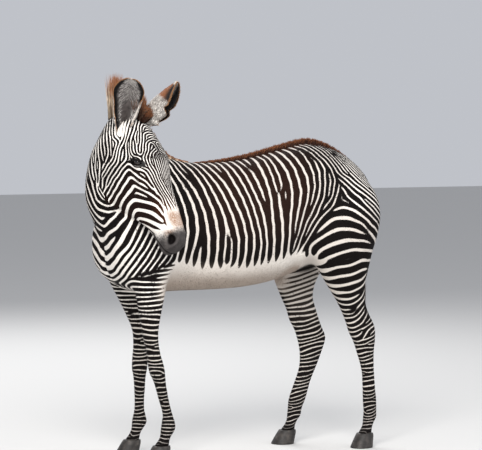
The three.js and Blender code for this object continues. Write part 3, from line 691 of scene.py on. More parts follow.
def on_left_side(x, z):
    """The outermost hide point of the left side at each x and z."""
    away = (body_mm[left, 0] - x[:, None]) ** 2 + (body_mm[left, 2] - z[:, None]) ** 2
    near = away < 14**2
    depth = np.where(near, body_mm[left, 1], np.inf)
    best = np.where(near.any(1), np.argmin(depth, 1), np.argmin(away, 1))
    return np.stack([x, body_mm[left[best], 1], z], -1)


neck_grid = loft(NECK)
neck_flat = neck_grid.reshape(-1, 3)


def across_neck(path):
    """Each point goes to the neck ring's opposite angle, about the ring's own middle plane."""
    at = np.argmin(((path[:, None] - neck_flat) ** 2).sum(-1), axis=1)
    around = neck_grid.shape[1]
    row, angle = at // around, at % around
    return neck_grid[row, (around // 2 - angle) % around]


guides = []  # (points, directions, spacing, whether the row's own place is kept)
FLIP = np.array([1.0, -1.0, 1.0])
for spacing, *flat in SIDE_ROWS:
    flat = np.array(flat, float).reshape(-1, 2)
    even, _ = samples(np.insert(flat, 1, 0, axis=1))
    even, course = samples(on_left_side(even[:, 0], even[:, 2]))
    guides.append((even, course, spacing, 1.0))
    # A row is made again on the right side, unless it stays low on the left hind leg.
    if flat[:, 1].max() > 1000 or flat[:, 0].max() < 1000:
        guides.append((even * FLIP, course * FLIP, spacing, 1.0))
neck_told = np.concatenate([samples(np.array(flat, float).reshape(-1, 3))[0]
                            for _, *flat in NECK_ROWS + CHEST_ROWS])
for spacing, *flat in NECK_ROWS:
    # The low rows, of the shoulder, give the stripes' course and spacing but not their places. A
    # row's twin keeps clear of the rows told for that side.
    even, course = samples(np.array(flat, float).reshape(-1, 3))
    low = even[:, 2].max() < 1200
    kept = 0.0 if low else 1.0
    guides.append((even, course, spacing, kept))
    twin, twin_course = samples(even * FLIP if low else across_neck(even))
    clear = np.sqrt(((twin[:, None] - neck_told) ** 2).sum(-1)).min(1) > 70
    guides.append((twin[clear], twin_course[clear], spacing, kept))
for spacing, *flat in CHEST_ROWS:
    guides.append((*samples(np.array(flat, float).reshape(-1, 3)), spacing, 1.0))
for spacing, *flat in HEAD_ROWS:
    flat = np.array(flat, float).reshape(-1, 3)
    for side in (1, -1):
        path = head_point(flat[:, 0], flat[:, 1], side * flat[:, 2])
        guides.append((*samples(path), spacing, 1.0))


def leg_guides(leg, top, low, spacing_top, spacing_low, rise):
    """Level rows round a leg, about 30 mm apart; rise tilts them up towards the back. Sines of a
    row's number tilt it a little more, and its spacing swells and shrinks by a sixth round it."""
    rows = refine(np.array(leg_rows(leg)), 6)
    heights = np.linspace(top, low, int((top - low) / 30))
    order = np.argsort(rows[:, 2])
    fit = np.stack([np.interp(heights, rows[order, 2], rows[order, i]) for i in range(14)], -1)
    grid = ring_points(fit, 16)
    grid[..., 2] += (grid[..., 0] - fit[:, None, 0]) * rise
    share = (top - heights) / (top - low)
    for count, (ring_row, part) in enumerate(zip(grid, share)):
        ring_row[:, 2] += (ring_row[:, 0] - ring_row[:, 0].mean()) * 0.11 * math.sin(2.3 * count)
        ring_row[:, 2] += (ring_row[:, 1] - ring_row[:, 1].mean()) * 0.12 * math.sin(1.7 * count + 1)
        closed = np.concatenate([ring_row, ring_row[:1]])
        spots, course = samples(closed)
        turn = np.arange(len(spots)) / len(spots) * 2 * np.pi
        spacing = spacing_top + (spacing_low - spacing_top) * part
        spacing = spacing * (1 + 0.16 * np.sin(turn + 0.7 * count))
        guides.append((spots, course, spacing, 0.0))


LEG_STRIPES = {  # the highest and lowest row, their spacings, and the rise
    "foreleg_left": (880, 90, 26, 18, 0.0), "foreleg_right": (880, 90, 26, 18, 0.0),
    "hindleg_left": (560, 90, 24, 17, 0.15), "hindleg_right": (900, 90, 28, 17, 0.25),
}
for leg, stripes in LEG_STRIPES.items():
    leg_guides(leg, *stripes)

guide_points = np.concatenate([g[0] for g in guides])
guide_course = np.concatenate([g[1] for g in guides])
guide_spacing = np.concatenate([np.broadcast_to(g[2], len(g[0])) for g in guides])
guide_kept = np.concatenate([np.full(len(g[0]), g[3]) for g in guides])
guide_at, guide_gap = nearest(guide_points)
guide_normal = normals[guide_at]

# The direction at a point is the mean of the guides' squares, weighted by 1 / distance^4 and by
# how far the two surfaces face the same way. It is worked out cell by cell of the hide, from the
# guides within reach of the cell or, where they are few, from the nearest ones.
CELL, GUIDE_REACH, FEWEST_GUIDES = 160, 360, 400
course_square = np.einsum("ni,nj->nij", guide_course, guide_course).reshape(-1, 9)
told = np.concatenate(
    [course_square, np.log(guide_spacing)[:, None], np.ones((len(guide_points), 1))], 1)
spread = np.empty((len(points), 11))
cells = np.floor(body_mm / CELL).astype(int)
cell_key = (cells * [1, 1000, 1000000]).sum(1)
order = np.argsort(cell_key, kind="stable")
for lot in np.split(order, np.flatnonzero(np.diff(cell_key[order])) + 1):
    middle = body_mm[lot].mean(0)
    far = np.linalg.norm(guide_points - middle, axis=1)
    near = np.flatnonzero(far < max(GUIDE_REACH, np.partition(far, FEWEST_GUIDES)[FEWEST_GUIDES]))
    away = ((body_mm[lot][:, None] - guide_points[near]) ** 2).sum(-1)
    alike = np.maximum(normals[lot] @ guide_normal[near].T, 0) + 0.05
    spread[lot] = (alike**2 / (away + 90) ** 2) @ told[near]
square = (spread[:, :9] / spread[:, 10:]).reshape(-1, 3, 3)
spacing = np.exp(spread[:, 9] / spread[:, 10])

side_axis = unit(np.cross(normals, np.where(np.abs(normals[:, 2:]) < 0.9, UP, [1.0, 0, 0])))
up_axis = np.cross(normals, side_axis)
m11 = np.einsum("ni,nij,nj->n", side_axis, square, side_axis)
m22 = np.einsum("ni,nij,nj->n", up_axis, square, up_axis)
m12 = np.einsum("ni,nij,nj->n", side_axis, square, up_axis)
turn = 0.5 * np.arctan2(2 * m12, m11 - m22)
run = side_axis * np.cos(turn)[:, None] + up_axis * np.sin(turn)[:, None]
wave = np.cross(normals, run) * (2 * np.pi / spacing)[:, None]

# The wave is a complex number at each point. Along an edge it should turn by the mean wave vector
# times the edge; at a kept guide it should be 1. Conjugate gradients settle both in least squares.
_, edges = mesh_arrays(drawn)
tail, head_end = edges.T
same = np.sign((wave[tail] * wave[head_end]).sum(-1))
same[same == 0] = 1
both_waves = wave[tail] + same[:, None] * wave[head_end]
turned = 0.5 * (both_waves * (body_mm[head_end] - body_mm[tail])).sum(-1)
twist = np.exp(1j * turned)
kept_rows = (guide_kept > 0) & (guide_gap < 25)
anchor_at = guide_at[kept_rows]
lean = (wave[anchor_at] * (body_mm[anchor_at] - guide_points[kept_rows])).sum(-1)
anchors = np.zeros(len(points), complex)
np.add.at(anchors, anchor_at, np.exp(1j * lean))
held = (np.abs(anchors) > 0).astype(float)
anchors = np.where(held > 0, anchors / np.maximum(np.abs(anchors), 1e-9), 0)


def gather(at, values):
    """The sum of the complex values that go to each point."""
    return np.bincount(at, values.real, len(points)) + 1j * np.bincount(at, values.imag, len(points))


def strain(field, hold, calm):
    """The gradient of the sum over edges of |end - twist * start|^2, plus the holds."""
    end = field[head_end]
    end = np.where(same > 0, end, end.conj())
    rest = end - twist * field[tail]
    back = np.where(same > 0, rest, rest.conj())
    pulled = gather(head_end, back) - gather(tail, twist.conj() * rest)
    return pulled + hold * held * field + calm * field


def settle_wave(field, hold, calm, target, rounds):
    """Rounds of conjugate gradients from `field`, held to the anchors by `hold` and to `target` by
    `calm`: step along the move by |rest|^2 / (move . drag), and turn the move by the next |rest|^2
    over the last."""
    goal = hold * anchors + calm * target
    rest = goal - strain(field, hold, calm)
    move = rest.copy()
    power = (rest.conj() * rest).real.sum()
    for _ in range(rounds):
        drag = strain(move, hold, calm)
        pace = power / (move.conj() * drag).real.sum()
        field = field + pace * move
        rest = rest - pace * drag
        new_power = (rest.conj() * rest).real.sum()
        move = rest + new_power / power * move
        power = new_power
    return field


# After the first settling the field is brought back to length 1 four times and settled again;
# the length that it has at the end says how sure the stripes are of their way.
field = settle_wave(anchors.copy(), 1.5, 0.002, 0 * anchors, 100)
for calm in (0.05, 0.1, 0.1, 0.15):
    field = field / np.maximum(np.abs(field), 1e-9)
    field = settle_wave(field, 1.0, calm, field, 20)
strength = np.abs(field)


def wobble(points, reach):
    """A wandering shift of `reach` millimetres: sines of the place along three skew directions."""
    skew = np.array([[1.0, 0.4, -0.3], [-0.5, 0.8, 0.6], [0.2, -0.7, 1.0]])
    place = points @ skew
    return reach * (np.sin(place / 23 + place[:, [1, 2, 0]] / 31) + np.sin(place[:, [2, 0, 1]] / 11))


low_leg = np.clip((820 - body_mm[:, 2]) / 200, 0, 1)[:, None]
phase = np.angle(field) + (wave * wobble(body_mm, 0.9 + 1.6 * low_leg)).sum(-1)
# Each face's corners get the wave's phase in turns, counted from its first corner.
first = hide_quads[:, :1]
lined = np.sign((wave[hide_quads] * wave[first]).sum(-1))
lined[lined == 0] = 1
seen = phase[hide_quads] * lined
reach = 0.5 * ((wave[first] + lined[..., None] * wave[hide_quads])
               * (body_mm[hide_quads] - body_mm[first])).sum(-1)
guess = seen[:, :1] + reach
turns = (guess + (seen - guess + np.pi) % (2 * np.pi) - np.pi) / (2 * np.pi)
loop_totals = np.empty(len(drawn.polygons), int)
drawn.polygons.foreach_get("loop_total", loop_totals)
corner_turns = turns[np.arange(4) < loop_totals[:, None]]
stripe = drawn.attributes.new("stripe", "FLOAT", "CORNER")
stripe.data.foreach_set("value", corner_turns.astype(np.float32))


def add_value(mesh, name, values):
    """A named number at each point of a mesh, for its material to read."""
    made = mesh.attributes.new(name, "FLOAT", "POINT")
    made.data.foreach_set("value", np.asarray(values, np.float32))


# The colours. `cut` is how high the wave must be for white, so it sets how broad the white lines
# are and lets dark stripes run out in points; the other values are the shares of each colour.
x, y, z = body_mm.T
along, up, right = head_places(points).T
skull = np.array(HEAD)
skull_along = (skull[:, :3] - POLL) @ HEAD_ALONG
skull_up = (skull[:, :3] - POLL) @ HEAD_UP
jaw_line = np.interp(along, skull_along, skull_up - skull[:, 11]) - 10
brow_line = np.interp(along, skull_along, skull_up + skull[:, 10]) + 25
cheek_line = np.interp(along, skull_along, skull[:, 9]) + 22
on_head = (along > -4) & (along < 700) & (up > jaw_line) & (up < brow_line)
on_head &= np.abs(right) < cheek_line


def ease(value, low, high):
    """0 below low, 1 above high, and s^2 * (3 - 2s) between, s being the share of the way."""
    share = np.clip((value - low) / (high - low), 0, 1)
    return share * share * (3 - 2 * share)


rump = ease(x, 1130, 1260) * ease(z, 1150, 1270)
sureness = strength / np.median(strength)
always_striped = np.maximum.reduce([1 - ease(z, 600, 800), rump, 0.8 * on_head])
sureness = np.clip(np.maximum(sureness, 0.85 * always_striped), 0, 1)
add_value(drawn, "sureness", sureness)
# White lines are broader on the rump and the front of the chest and narrower down the legs.
cut = np.full(len(points), 0.62)
cut -= 0.15 * rump
cut -= 0.1 * (1 - ease(x, 60, 230)) * ease(z, 900, 1000) * (1 - 0.5 * ease(z, 1330, 1480))
cut += 0.12 - 0.12 * ease(z, 300, 620)
# The belly is white below a line from elbow to stifle, and so are the insides of the thighs.
belly_line = np.interp(x, (150, 300, 450, 650, 800, 900, 960, 1040),
                       (880, 985, 955, 940, 975, 1010, 1030, 900))
belly = (1 - ease(z, belly_line - 70, belly_line + 40)) * ease(x, 170, 290) * (1 - ease(x, 985, 1060))
belly *= ease(z, 760, 830) * (1 - on_head)
cut -= 1.7 * belly
underside = ease(-normals[:, 2], 0.35, 0.75) * ease(z, 740, 800) * (1 - on_head) * ease(x, 60, 200)
cut -= 1.6 * underside
inner = ease(z, 560, 900) * (z < 1020)
inner = inner * ease(-normals[:, 1] * np.sign(y) - 0.1, 0.0, 0.5) * (x > 850)
inner = np.maximum(inner, 0.6 * belly)
cut -= 0.65 * inner
chest_low = (1 - ease(x, 20, 130)) * (1 - ease(z, 1000, 1150)) * ease(z, 850, 900)
cut -= 0.55 * chest_low
# The face's lines run out in white above the muzzle, at the root of the ears and under the eyes.
face_cut = np.interp(along, (0, 90, 190, 400, 470, 520, 556),
                     (0.4, 0.44, 0.5, 0.48, 0.34, -0.2, -1.3))
face_cut += 0.12 * ease(up, -20, 10)
face_cut -= 1.2 * ease(up, -75, -35) * ease(along, 440, 510)
cut = np.where(on_head, face_cut, cut)
ear_base = np.exp(-(((along - 26) / 44) ** 2) - (((up + 66) / 38) ** 2)) * on_head
cut -= 1.2 * ease(ear_base, 0.25, 0.7)
lower_lid = np.exp(-(((along - 248) / 13) ** 2) - (((up + 40) / 22) ** 2)) * on_head
cut -= 1.0 * lower_lid

# The bare dark skin of the muzzle, lips and chin, and what is all but black: the pits of the
# nostrils, painted shade in the crease of the mouth, round the eyes, a painted shadow in the groin
# (partly the dark skin of its fold) and just over the hooves. The dark skin value also carries
# painted shade along the belly's underside and the groin's painted shadow.
near_right = np.stack([along, up, np.abs(right)], -1)
nostril_across, nostril = nostril_place(near_right)
muzzle = 0.97 * ease(along - 0.3 * (up + 100), 548, 628)
muzzle = np.maximum(muzzle, 0.92 * ease(along, 562, 612) * ease(up, -100, -50))
rim = np.exp(-(((nostril - 1.4) / 0.35) ** 2)) * (nostril_across < 0)
muzzle *= 1 - 0.22 * rim
mouth = over_mouth(along, up)
lips = np.exp(-((mouth / np.where(mouth > 0, 17, 40)) ** 2)) * ease(along, 500, 545)
chin = ease(-mouth, 0, 12) * ease(along, 515, 560) * 0.85
muzzle = (1 - (1 - np.clip(np.maximum(muzzle, chin), 0, 1)) ** 2.3) * on_head
lips *= on_head
pit = (1 - ease(nostril, 0.7, 1.0)) * on_head * (np.abs(right) < 70)
# Painted shade along the crease where the lips meet, over the dark lips.
painted_mouth_shade = np.exp(-((mouth / 5) ** 2)) * ease(along, 528, 548) * on_head * (along < 672)
long_slit, over_slit, _ = slit_place(near_right)
eye_dark = 1 - ease(np.sqrt((long_slit / 48) ** 2 + ((over_slit - 1) / 19) ** 2), 0.85, 1.1)
streak = np.exp(-(((long_slit - 38) / 9) ** 2) - (((over_slit + 12) / 9) ** 2))
eye_dark = np.maximum(eye_dark, streak) * (np.abs(right) > 50) * on_head
# Painted shade along the middle of the belly's underside, where it faces down.
painted_underside_shade = np.exp(-((y / 36) ** 2)) * ease(-normals[:, 2], 0.5, 0.9)
painted_underside_shade = painted_underside_shade * ease(x, 200, 330) * (1 - ease(x, 900, 1000)) * (z > 740)
# Painted shadow under the belly at the top of the far hind leg, partly the dark skin of the groin's
# fold; it darkens both the dark skin and the pitch values.
groin_shadow_and_skin = ease(np.exp(-(((x - 1090) / 95) ** 2) - (((z - 916) / 30) ** 2)), 0.15, 0.7)
groin_shadow_and_skin *= 1 - ease(-y, 60, 150)
coronet = 1 - ease(z, 72, 120)
# Besides the bare dark skin, this value carries the painted underside shade and the painted groin
# shadow.
dark = np.clip(np.maximum.reduce([muzzle, lips * 0.95, painted_underside_shade * 0.8, groin_shadow_and_skin * 0.7]), 0, 1)
pitch = np.maximum.reduce([pit, eye_dark, 0.9 * painted_mouth_shade, 0.85 * groin_shadow_and_skin, 0.85 * coronet])
pitch = np.clip(pitch, 0, 1)
# The tan over the nose, the brown in the black stripes, painted shade on the lower belly, the
# inner thighs and the groin, and the buff tint of the cream.
tan = 1.5 * np.exp(-(((along - 532) / 44) ** 2) - (((up + 30) / 20) ** 2))
tan += 1.0 * np.exp(-(((along - 584) / 15) ** 2) - (((up + 68) / 22) ** 2)) + 0.4 * rim
tan = np.clip(tan * on_head, 0, 1) * 0.9
warm_face = 0.6 * ease(along, 350, 490) * ease(up, -140, -50)
warm_face = np.maximum(warm_face, 0.1 * ease(along, 180, 300)) * on_head
warm_side = 0.16 * ease(z, 1000, 1250) * ease(x, 330, 600) * (1 - ease(x, 900, 1100))
warm_back = 0.35 * ease(z, 1430, 1520) * ease(x, 600, 700) * (1 - ease(np.abs(y), 40, 90))
warm = np.maximum.reduce([warm_face, warm_side, warm_back])
shade = 0.9 * belly * (1 - ease(z, 850, 1010)) + 0.12 * inner
# A painted shadow in the groin, between the belly and the thigh.
shade += 0.6 * np.exp(-(((x - 955) / 60) ** 2) - (((z - 905) / 45) ** 2)) * (np.abs(y) < 190)
blush = 0.85 * ease(x, 230, 400) * (1 - 0.8 * rump) * (1 - belly)
blush = np.maximum(blush, 0.9 * (1 - ease(z, 620, 880)))
blush = np.maximum(blush, 0.35 * (1 - ease(x, 100, 300)) * ease(z, 900, 1000)) * (1 - on_head)
level = np.cos(phase) * sureness
paints = {"blush": blush, "cut": cut, "dark skin": dark, "pitch": pitch, "tan": tan, "warm": warm,
          "shade": shade}
for name, values in paints.items():
    add_value(drawn, name, values)

BLACK, BROWN = (0.0055, 0.0042, 0.004), (0.085, 0.028, 0.012)
CREAM, DULL_CREAM, BUFF = (0.82, 0.78, 0.73), (0.70, 0.645, 0.59), (0.51, 0.462, 0.42)
TAN, SHADE = (0.25, 0.13, 0.07), (0.34, 0.28, 0.235)
GREY, PALE_GREY, PITCH = (0.036, 0.032, 0.032), (0.085, 0.077, 0.074), (0.004, 0.003, 0.003)
hide_finish, hide_tree, hide_shader = plain_material("hide", CREAM, 0.62)


def new_node(tree, kind, **settings):
    """A shader node of a kind, with its settings."""
    made = tree.nodes.new("ShaderNode" + kind)
    for name, value in settings.items():
        setattr(made, name, value)
    return made


def plug(tree, socket, value):
    """A socket gets a link from another socket, or a constant."""
    if isinstance(value, bpy.types.NodeSocket):
        tree.links.new(value, socket)
    else:
        socket.default_value = value


def maths(tree, operation, a, b=0.0, clamp=False):
    """The operation on a and b, kept between 0 and 1 where clamp is set."""
    made = new_node(tree, "Math", operation=operation, use_clamp=clamp)
    plug(tree, made.inputs[0], a)
    plug(tree, made.inputs[1], b)
    return made.outputs[0]


def mixed(tree, share, a, b):
    """The colour a + (b - a) * share."""
    made = new_node(tree, "Mix", data_type="RGBA")
    plug(tree, made.inputs["Factor"], share)
    for socket, colour in (("A", a), ("B", b)):
        linked = isinstance(colour, bpy.types.NodeSocket)
        plug(tree, made.inputs[socket], colour if linked else (*colour, 1))
    return made.outputs["Result"]


def read(tree, name):
    """The mesh's own value of that name."""
    return new_node(tree, "Attribute", attribute_name=name).outputs["Fac"]


def noise(tree, scale, detail=2.0, stretch=(1, 1, 1)):
    """Noise of the place in metres, times stretch, times scale."""
    place = new_node(tree, "TexCoord").outputs["Object"]
    mapping = new_node(tree, "Mapping")
    plug(tree, mapping.inputs["Vector"], place)
    mapping.inputs["Scale"].default_value = stretch
    made = new_node(tree, "TexNoise")
    plug(tree, made.inputs["Vector"], mapping.outputs[0])
    made.inputs["Scale"].default_value = scale
    made.inputs["Detail"].default_value = detail
    return made.outputs["Fac"]


def raise_grain(tree, shader, height, strength, distance):
    """The height, times distance in metres, as bumps of the surface at that strength."""
    made = new_node(tree, "Bump")
    made.inputs["Strength"].default_value = strength
    made.inputs["Distance"].default_value = distance
    plug(tree, made.inputs["Height"], height)
    plug(tree, shader.inputs["Normal"], made.outputs[0])


# White is cos(2 pi * stripe) * sureness, made ragged by the hairs, less the cut.
t = hide_tree
hairs = noise(t, 420, 3.0)
ragged = maths(t, "MULTIPLY", maths(t, "SUBTRACT", hairs, 0.5), 0.6)
crest_of_wave = maths(t, "COSINE", maths(t, "MULTIPLY", read(t, "stripe"), 2 * math.pi))
crest_of_wave = maths(t, "MULTIPLY", crest_of_wave, maths(t, "MINIMUM", read(t, "sureness"), 1.0))
white = maths(t, "SUBTRACT", maths(t, "ADD", crest_of_wave, ragged), read(t, "cut"))
white = maths(t, "ADD", maths(t, "MULTIPLY", white, 5.0), 0.5, clamp=True)
cloud = noise(t, 9, 3.0)
warmth = maths(t, "MULTIPLY", read(t, "warm"), maths(t, "ADD", cloud, 0.3), clamp=True)
black = mixed(t, warmth, BLACK, BROWN)
cream = mixed(t, maths(t, "MULTIPLY", cloud, 0.4), CREAM, DULL_CREAM)
cream = mixed(t, read(t, "blush"), cream, BUFF)
coat = mixed(t, white, black, cream)
tan_streaks = maths(t, "MULTIPLY", read(t, "tan"), 1.6)
tan_streaks = maths(t, "MULTIPLY", tan_streaks, noise(t, 160, 3.0), clamp=True)
coat = mixed(t, tan_streaks, coat, TAN)
coat = mixed(t, read(t, "shade"), coat, SHADE)
spots = maths(t, "MULTIPLY", noise(t, 60, 2.0), 0.7)
# The dark skin's edge is mottled: share + share * (1 - share) * (8 * noise - 4).
mottle = maths(t, "SUBTRACT", maths(t, "MULTIPLY", noise(t, 110, 3.0), 8.0), 4.0)
skin_share = maths(t, "SUBTRACT", 1.0, read(t, "dark skin"))
skin_share = maths(t, "MULTIPLY", read(t, "dark skin"), skin_share)
skin_share = maths(t, "MULTIPLY", skin_share, mottle)
skin_share = maths(t, "ADD", read(t, "dark skin"), skin_share, clamp=True)
coat = mixed(t, skin_share, coat, mixed(t, spots, GREY, PALE_GREY))
coat = mixed(t, read(t, "pitch"), coat, PITCH)
plug(t, hide_shader.inputs["Base Color"], coat)
raise_grain(t, hide_shader, hairs, 0.35, 0.0016)
hide_shader.inputs["Specular IOR Level"].default_value = 0.04
drawn.materials.append(hide_finish)
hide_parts("trunk", "neck", "head", "tail_dock",
            *[f"{leg}_{part}" for leg in LEG_LEVELS for part in ("upper", "cannon")])
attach(hide, "root")

# ==== The coat =================================================================================
# The short hair where it breaks the form: small solid tufts, their roots under the skin, that lie
# back along the body. They are shortest on the face and feet and longest under the belly.
rng = np.random.default_rng(11)


def locks(roots, ways, outs, lengths, widths, rows=(0.0, 0.5), droop=0.2, thick=0.3):
    """Three-sided locks in millimetres. A share t down its length a lock's spine is root +
    length * (t * way - droop * t^2 * out); round it stand +-side * w and out * 2 * thick * w, with
    w = width / 2 * (1 - t^2)^0.7 and side = way x out. The tip is one point."""
    side, lengths, half = unit(np.cross(ways, outs)), lengths[:, None], widths[:, None] / 2
    parts = []
    for t in rows:
        spine = roots + lengths * (t * ways - droop * t * t * outs)
        w = half * (1 - t * t) ** 0.7
        parts += [spine - side * w, spine + side * w, spine + outs * w * 2 * thick]
    return np.stack([*parts, roots + lengths * (ways - droop * outs)], 1)


def lock_object(name, points, material, places, **values):
    """All the locks as one closed mesh: a base, three sides and a tip each. Each value is given
    per lock, and OFBake lays a lock as a patch 0.003 across at its place on the hide's unwrap."""
    count, size = points.shape[:2]
    pattern = [(0, 1, 2)]
    for row in range(0, size - 1, 3):
        for i, j in ((row, row + 2), (row + 2, row + 1), (row + 1, row)):
            last = row + 4 == size
            pattern += [(i, j, size - 1)] if last else [(i, j, j + 3), (i, j + 3, i + 3)]
    pattern = np.array(pattern)
    corners = (np.arange(count)[:, None, None] * size + pattern).ravel()
    mesh = bpy.data.meshes.new(name)
    mesh.vertices.add(count * size)
    mesh.vertices.foreach_set("co", to_frame(points).ravel())
    mesh.loops.add(len(corners))
    mesh.loops.foreach_set("vertex_index", corners)
    mesh.polygons.add(len(corners) // 3)
    mesh.polygons.foreach_set("loop_start", np.arange(0, len(corners), 3))
    mesh.polygons.foreach_set("use_smooth", np.ones(len(corners) // 3, bool))
    mesh.update(calc_edges=True)
    for label, value in values.items():
        value = np.asarray(value, float)
        value = value.reshape(count, -1) if value.size > 1 else value
        add_value(mesh, label.replace("_", " "), np.broadcast_to(value, (count, size)).ravel())
    offset = np.stack([np.resize([-1.0, 1.0, 0.0], size), np.linspace(-1, 1, size)], -1) * 0.0015
    laid = mesh.uv_layers.new(name="OFBake")
    laid.data.foreach_set("uv", (places[:, None, None] + offset[pattern]).ravel())
    mesh.materials.append(material)
    made = bpy.data.objects.new(name, mesh)
    bpy.context.scene.collection.objects.link(made)
    return made


# The hide's unwrap: each loft is a tile, across by the share round its rings and up by the share
# along its rows, and a hide point takes the place of the nearest loft point.
unwrap = []
for tile, grid in enumerate(lofts):
    row, turn_at = np.meshgrid(*[np.arange(n) / n for n in grid.shape[:2]], indexing="ij")
    corner = np.array([tile % 4 / 4, tile // 4 / 2]) + 0.01
    unwrap.append(np.stack([turn_at.ravel() * 0.23, row.ravel() * 0.48], -1) + corner)
unwrap = np.concatenate(unwrap)
loft_tree = mathutils.kdtree.KDTree(len(unwrap))
for index, place in enumerate(np.concatenate([grid.reshape(-1, 3) for grid in lofts])):
    loft_tree.insert(place, index)
loft_tree.balance()
hide_places = unwrap[[loft_tree.find(place)[1] for place in body_mm]]

# The hair lies back along the trunk, down the neck and legs, and from the poll to the nose.
neck_w = (1 - ease(x, 170, 420)) * ease(z, 940, 1060)
leg_w = 1 - ease(z, 760, 930)
lie = np.array([0.9, 0.0, -0.45]) - 1.2 * neck_w[:, None] * UP
lie = lie * (1 - leg_w)[:, None] + np.array([0.25, 0.0, -1.0]) * leg_w[:, None]
lie = np.where(on_head[:, None], HEAD_ALONG - 0.25 * HEAD_UP, lie)
lie = unit(lie - (lie * normals).sum(-1, keepdims=True) * normals)
hair_length = 9.5 + 2 * neck_w - 3 * leg_w + 6 * belly + 3 * inner
hair_length = np.where(on_head, 5.5 - 2 * ease(along, 350, 600), hair_length)
hair_length -= 2 * (1 - ease(z, 120, 260))

face_corner = body_mm[hide_quads]
face_area = np.linalg.norm(np.cross(face_corner[:, 2] - face_corner[:, 0],
                                    face_corner[:, 3] - face_corner[:, 1]), axis=1)
face_mid = face_corner.mean(1)
face_head = on_head[hide_quads].all(1)
bare = np.maximum(pitch, lips)[hide_quads].max(1) > 0.3
mid_x, mid_y, mid_z = face_mid.T
coat_part = np.select(
    [bare, face_head, (mid_x < 330) & (mid_z > 930), (mid_x < 560) & (mid_z < 880),
     (mid_x > 850) & (mid_z < 900), mid_y > 0], [0, 1, 2, 3, 4, 5], 6)
# Each piece's part of the coat and its number of tufts.
COATS = {"coat_head": (1, 15000), "coat_neck": (2, 12000), "coat_forelegs": (3, 10000),
         "coat_hindlegs": (4, 10000), "coat_right_side": (5, 14000), "coat_left_side": (6, 14000)}

TUFT_SHADE = (0.60, 0.54, 0.48)
coat_finish, t, coat_shader = plain_material("coat hair", CREAM, 0.6)
black = mixed(t, read(t, "warm"), BLACK, BROWN)
cream = mixed(t, read(t, "blush"), CREAM, BUFF)
hair = mixed(t, read(t, "white"), black, mixed(t, read(t, "tone"), cream, TUFT_SHADE))
hair = mixed(t, read(t, "tan"), hair, TAN)
hair = mixed(t, read(t, "shade"), hair, SHADE)
hair = mixed(t, read(t, "dark skin"), hair, GREY)
plug(t, coat_shader.inputs["Base Color"], hair)
raise_grain(t, coat_shader, noise(t, 900, 2.0), 0.3, 0.0006)
coat_shader.inputs["Specular IOR Level"].default_value = 0.04

for name, (part, count) in COATS.items():
    faces = np.flatnonzero(coat_part == part)
    chance = face_area[faces] / face_area[faces].sum()
    faces = rng.choice(faces, count, p=chance)
    u, v = rng.random((2, count, 1))
    weight = np.stack([(1 - u) * (1 - v), u * (1 - v), u * v, (1 - u) * v], 1)
    corner = hide_quads[faces]

    def at_roots(values):
        """A hide value at each root: its face's corners weighted (1-u)(1-v), u(1-v), uv, (1-u)v."""
        return (values[corner].reshape(count, 4, -1) * weight).sum(1)

    out = unit(at_roots(normals))
    way = at_roots(lie) + rng.normal(0, 0.16, (count, 3))
    way = unit(unit(way - (way * out).sum(-1, keepdims=True) * out) + 0.26 * out)
    length = at_roots(hair_length)[:, 0] * rng.uniform(0.75, 1.25, count)
    ragged = rng.normal(0, 0.05, count)
    white = np.clip((at_roots(level)[:, 0] + ragged - at_roots(cut)[:, 0]) * 8 + 0.5, 0, 1)
    # A tuft that would reach over the edge of its own stripe is cut short.
    tip, _ = nearest(at_roots(body_mm) + way * length[:, None])
    length *= 1 - 0.7 * np.abs(white - np.clip((level[tip] - cut[tip]) * 8 + 0.5, 0, 1))
    tufts = locks(at_roots(body_mm) - 0.06 * length[:, None] * out, way, out, length,
                  0.9 + length * 0.17)
    tufts = lock_object(name, tufts, coat_finish, hide_places[corner[:, 0]], white=white,
                        warm=at_roots(warm), tan=at_roots(tan), shade=at_roots(shade),
                        dark_skin=at_roots(dark), tone=rng.random(count) * 0.4, blush=at_roots(blush))
    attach(tufts, "root")

# ==== The eyes =================================================================================
# Two glass-clear balls with a wide dark iris and a level slot of a pupil, set in the skull so that
# only the front of each shows between the lids.
EYE_RADIUS, CORNEA = 25.0, 1.4
PUPIL_HALVES, IRIS_EDGE = (0.36, 0.2), (0.62, 0.75)  # in radii of the ball, and in radians


def turned_out(mesh):
    """Every face of the mesh turned to face outwards."""
    soft = bmesh.new()
    soft.from_mesh(mesh)
    bmesh.ops.recalc_face_normals(soft, faces=soft.faces)
    soft.to_mesh(mesh)
    soft.free()


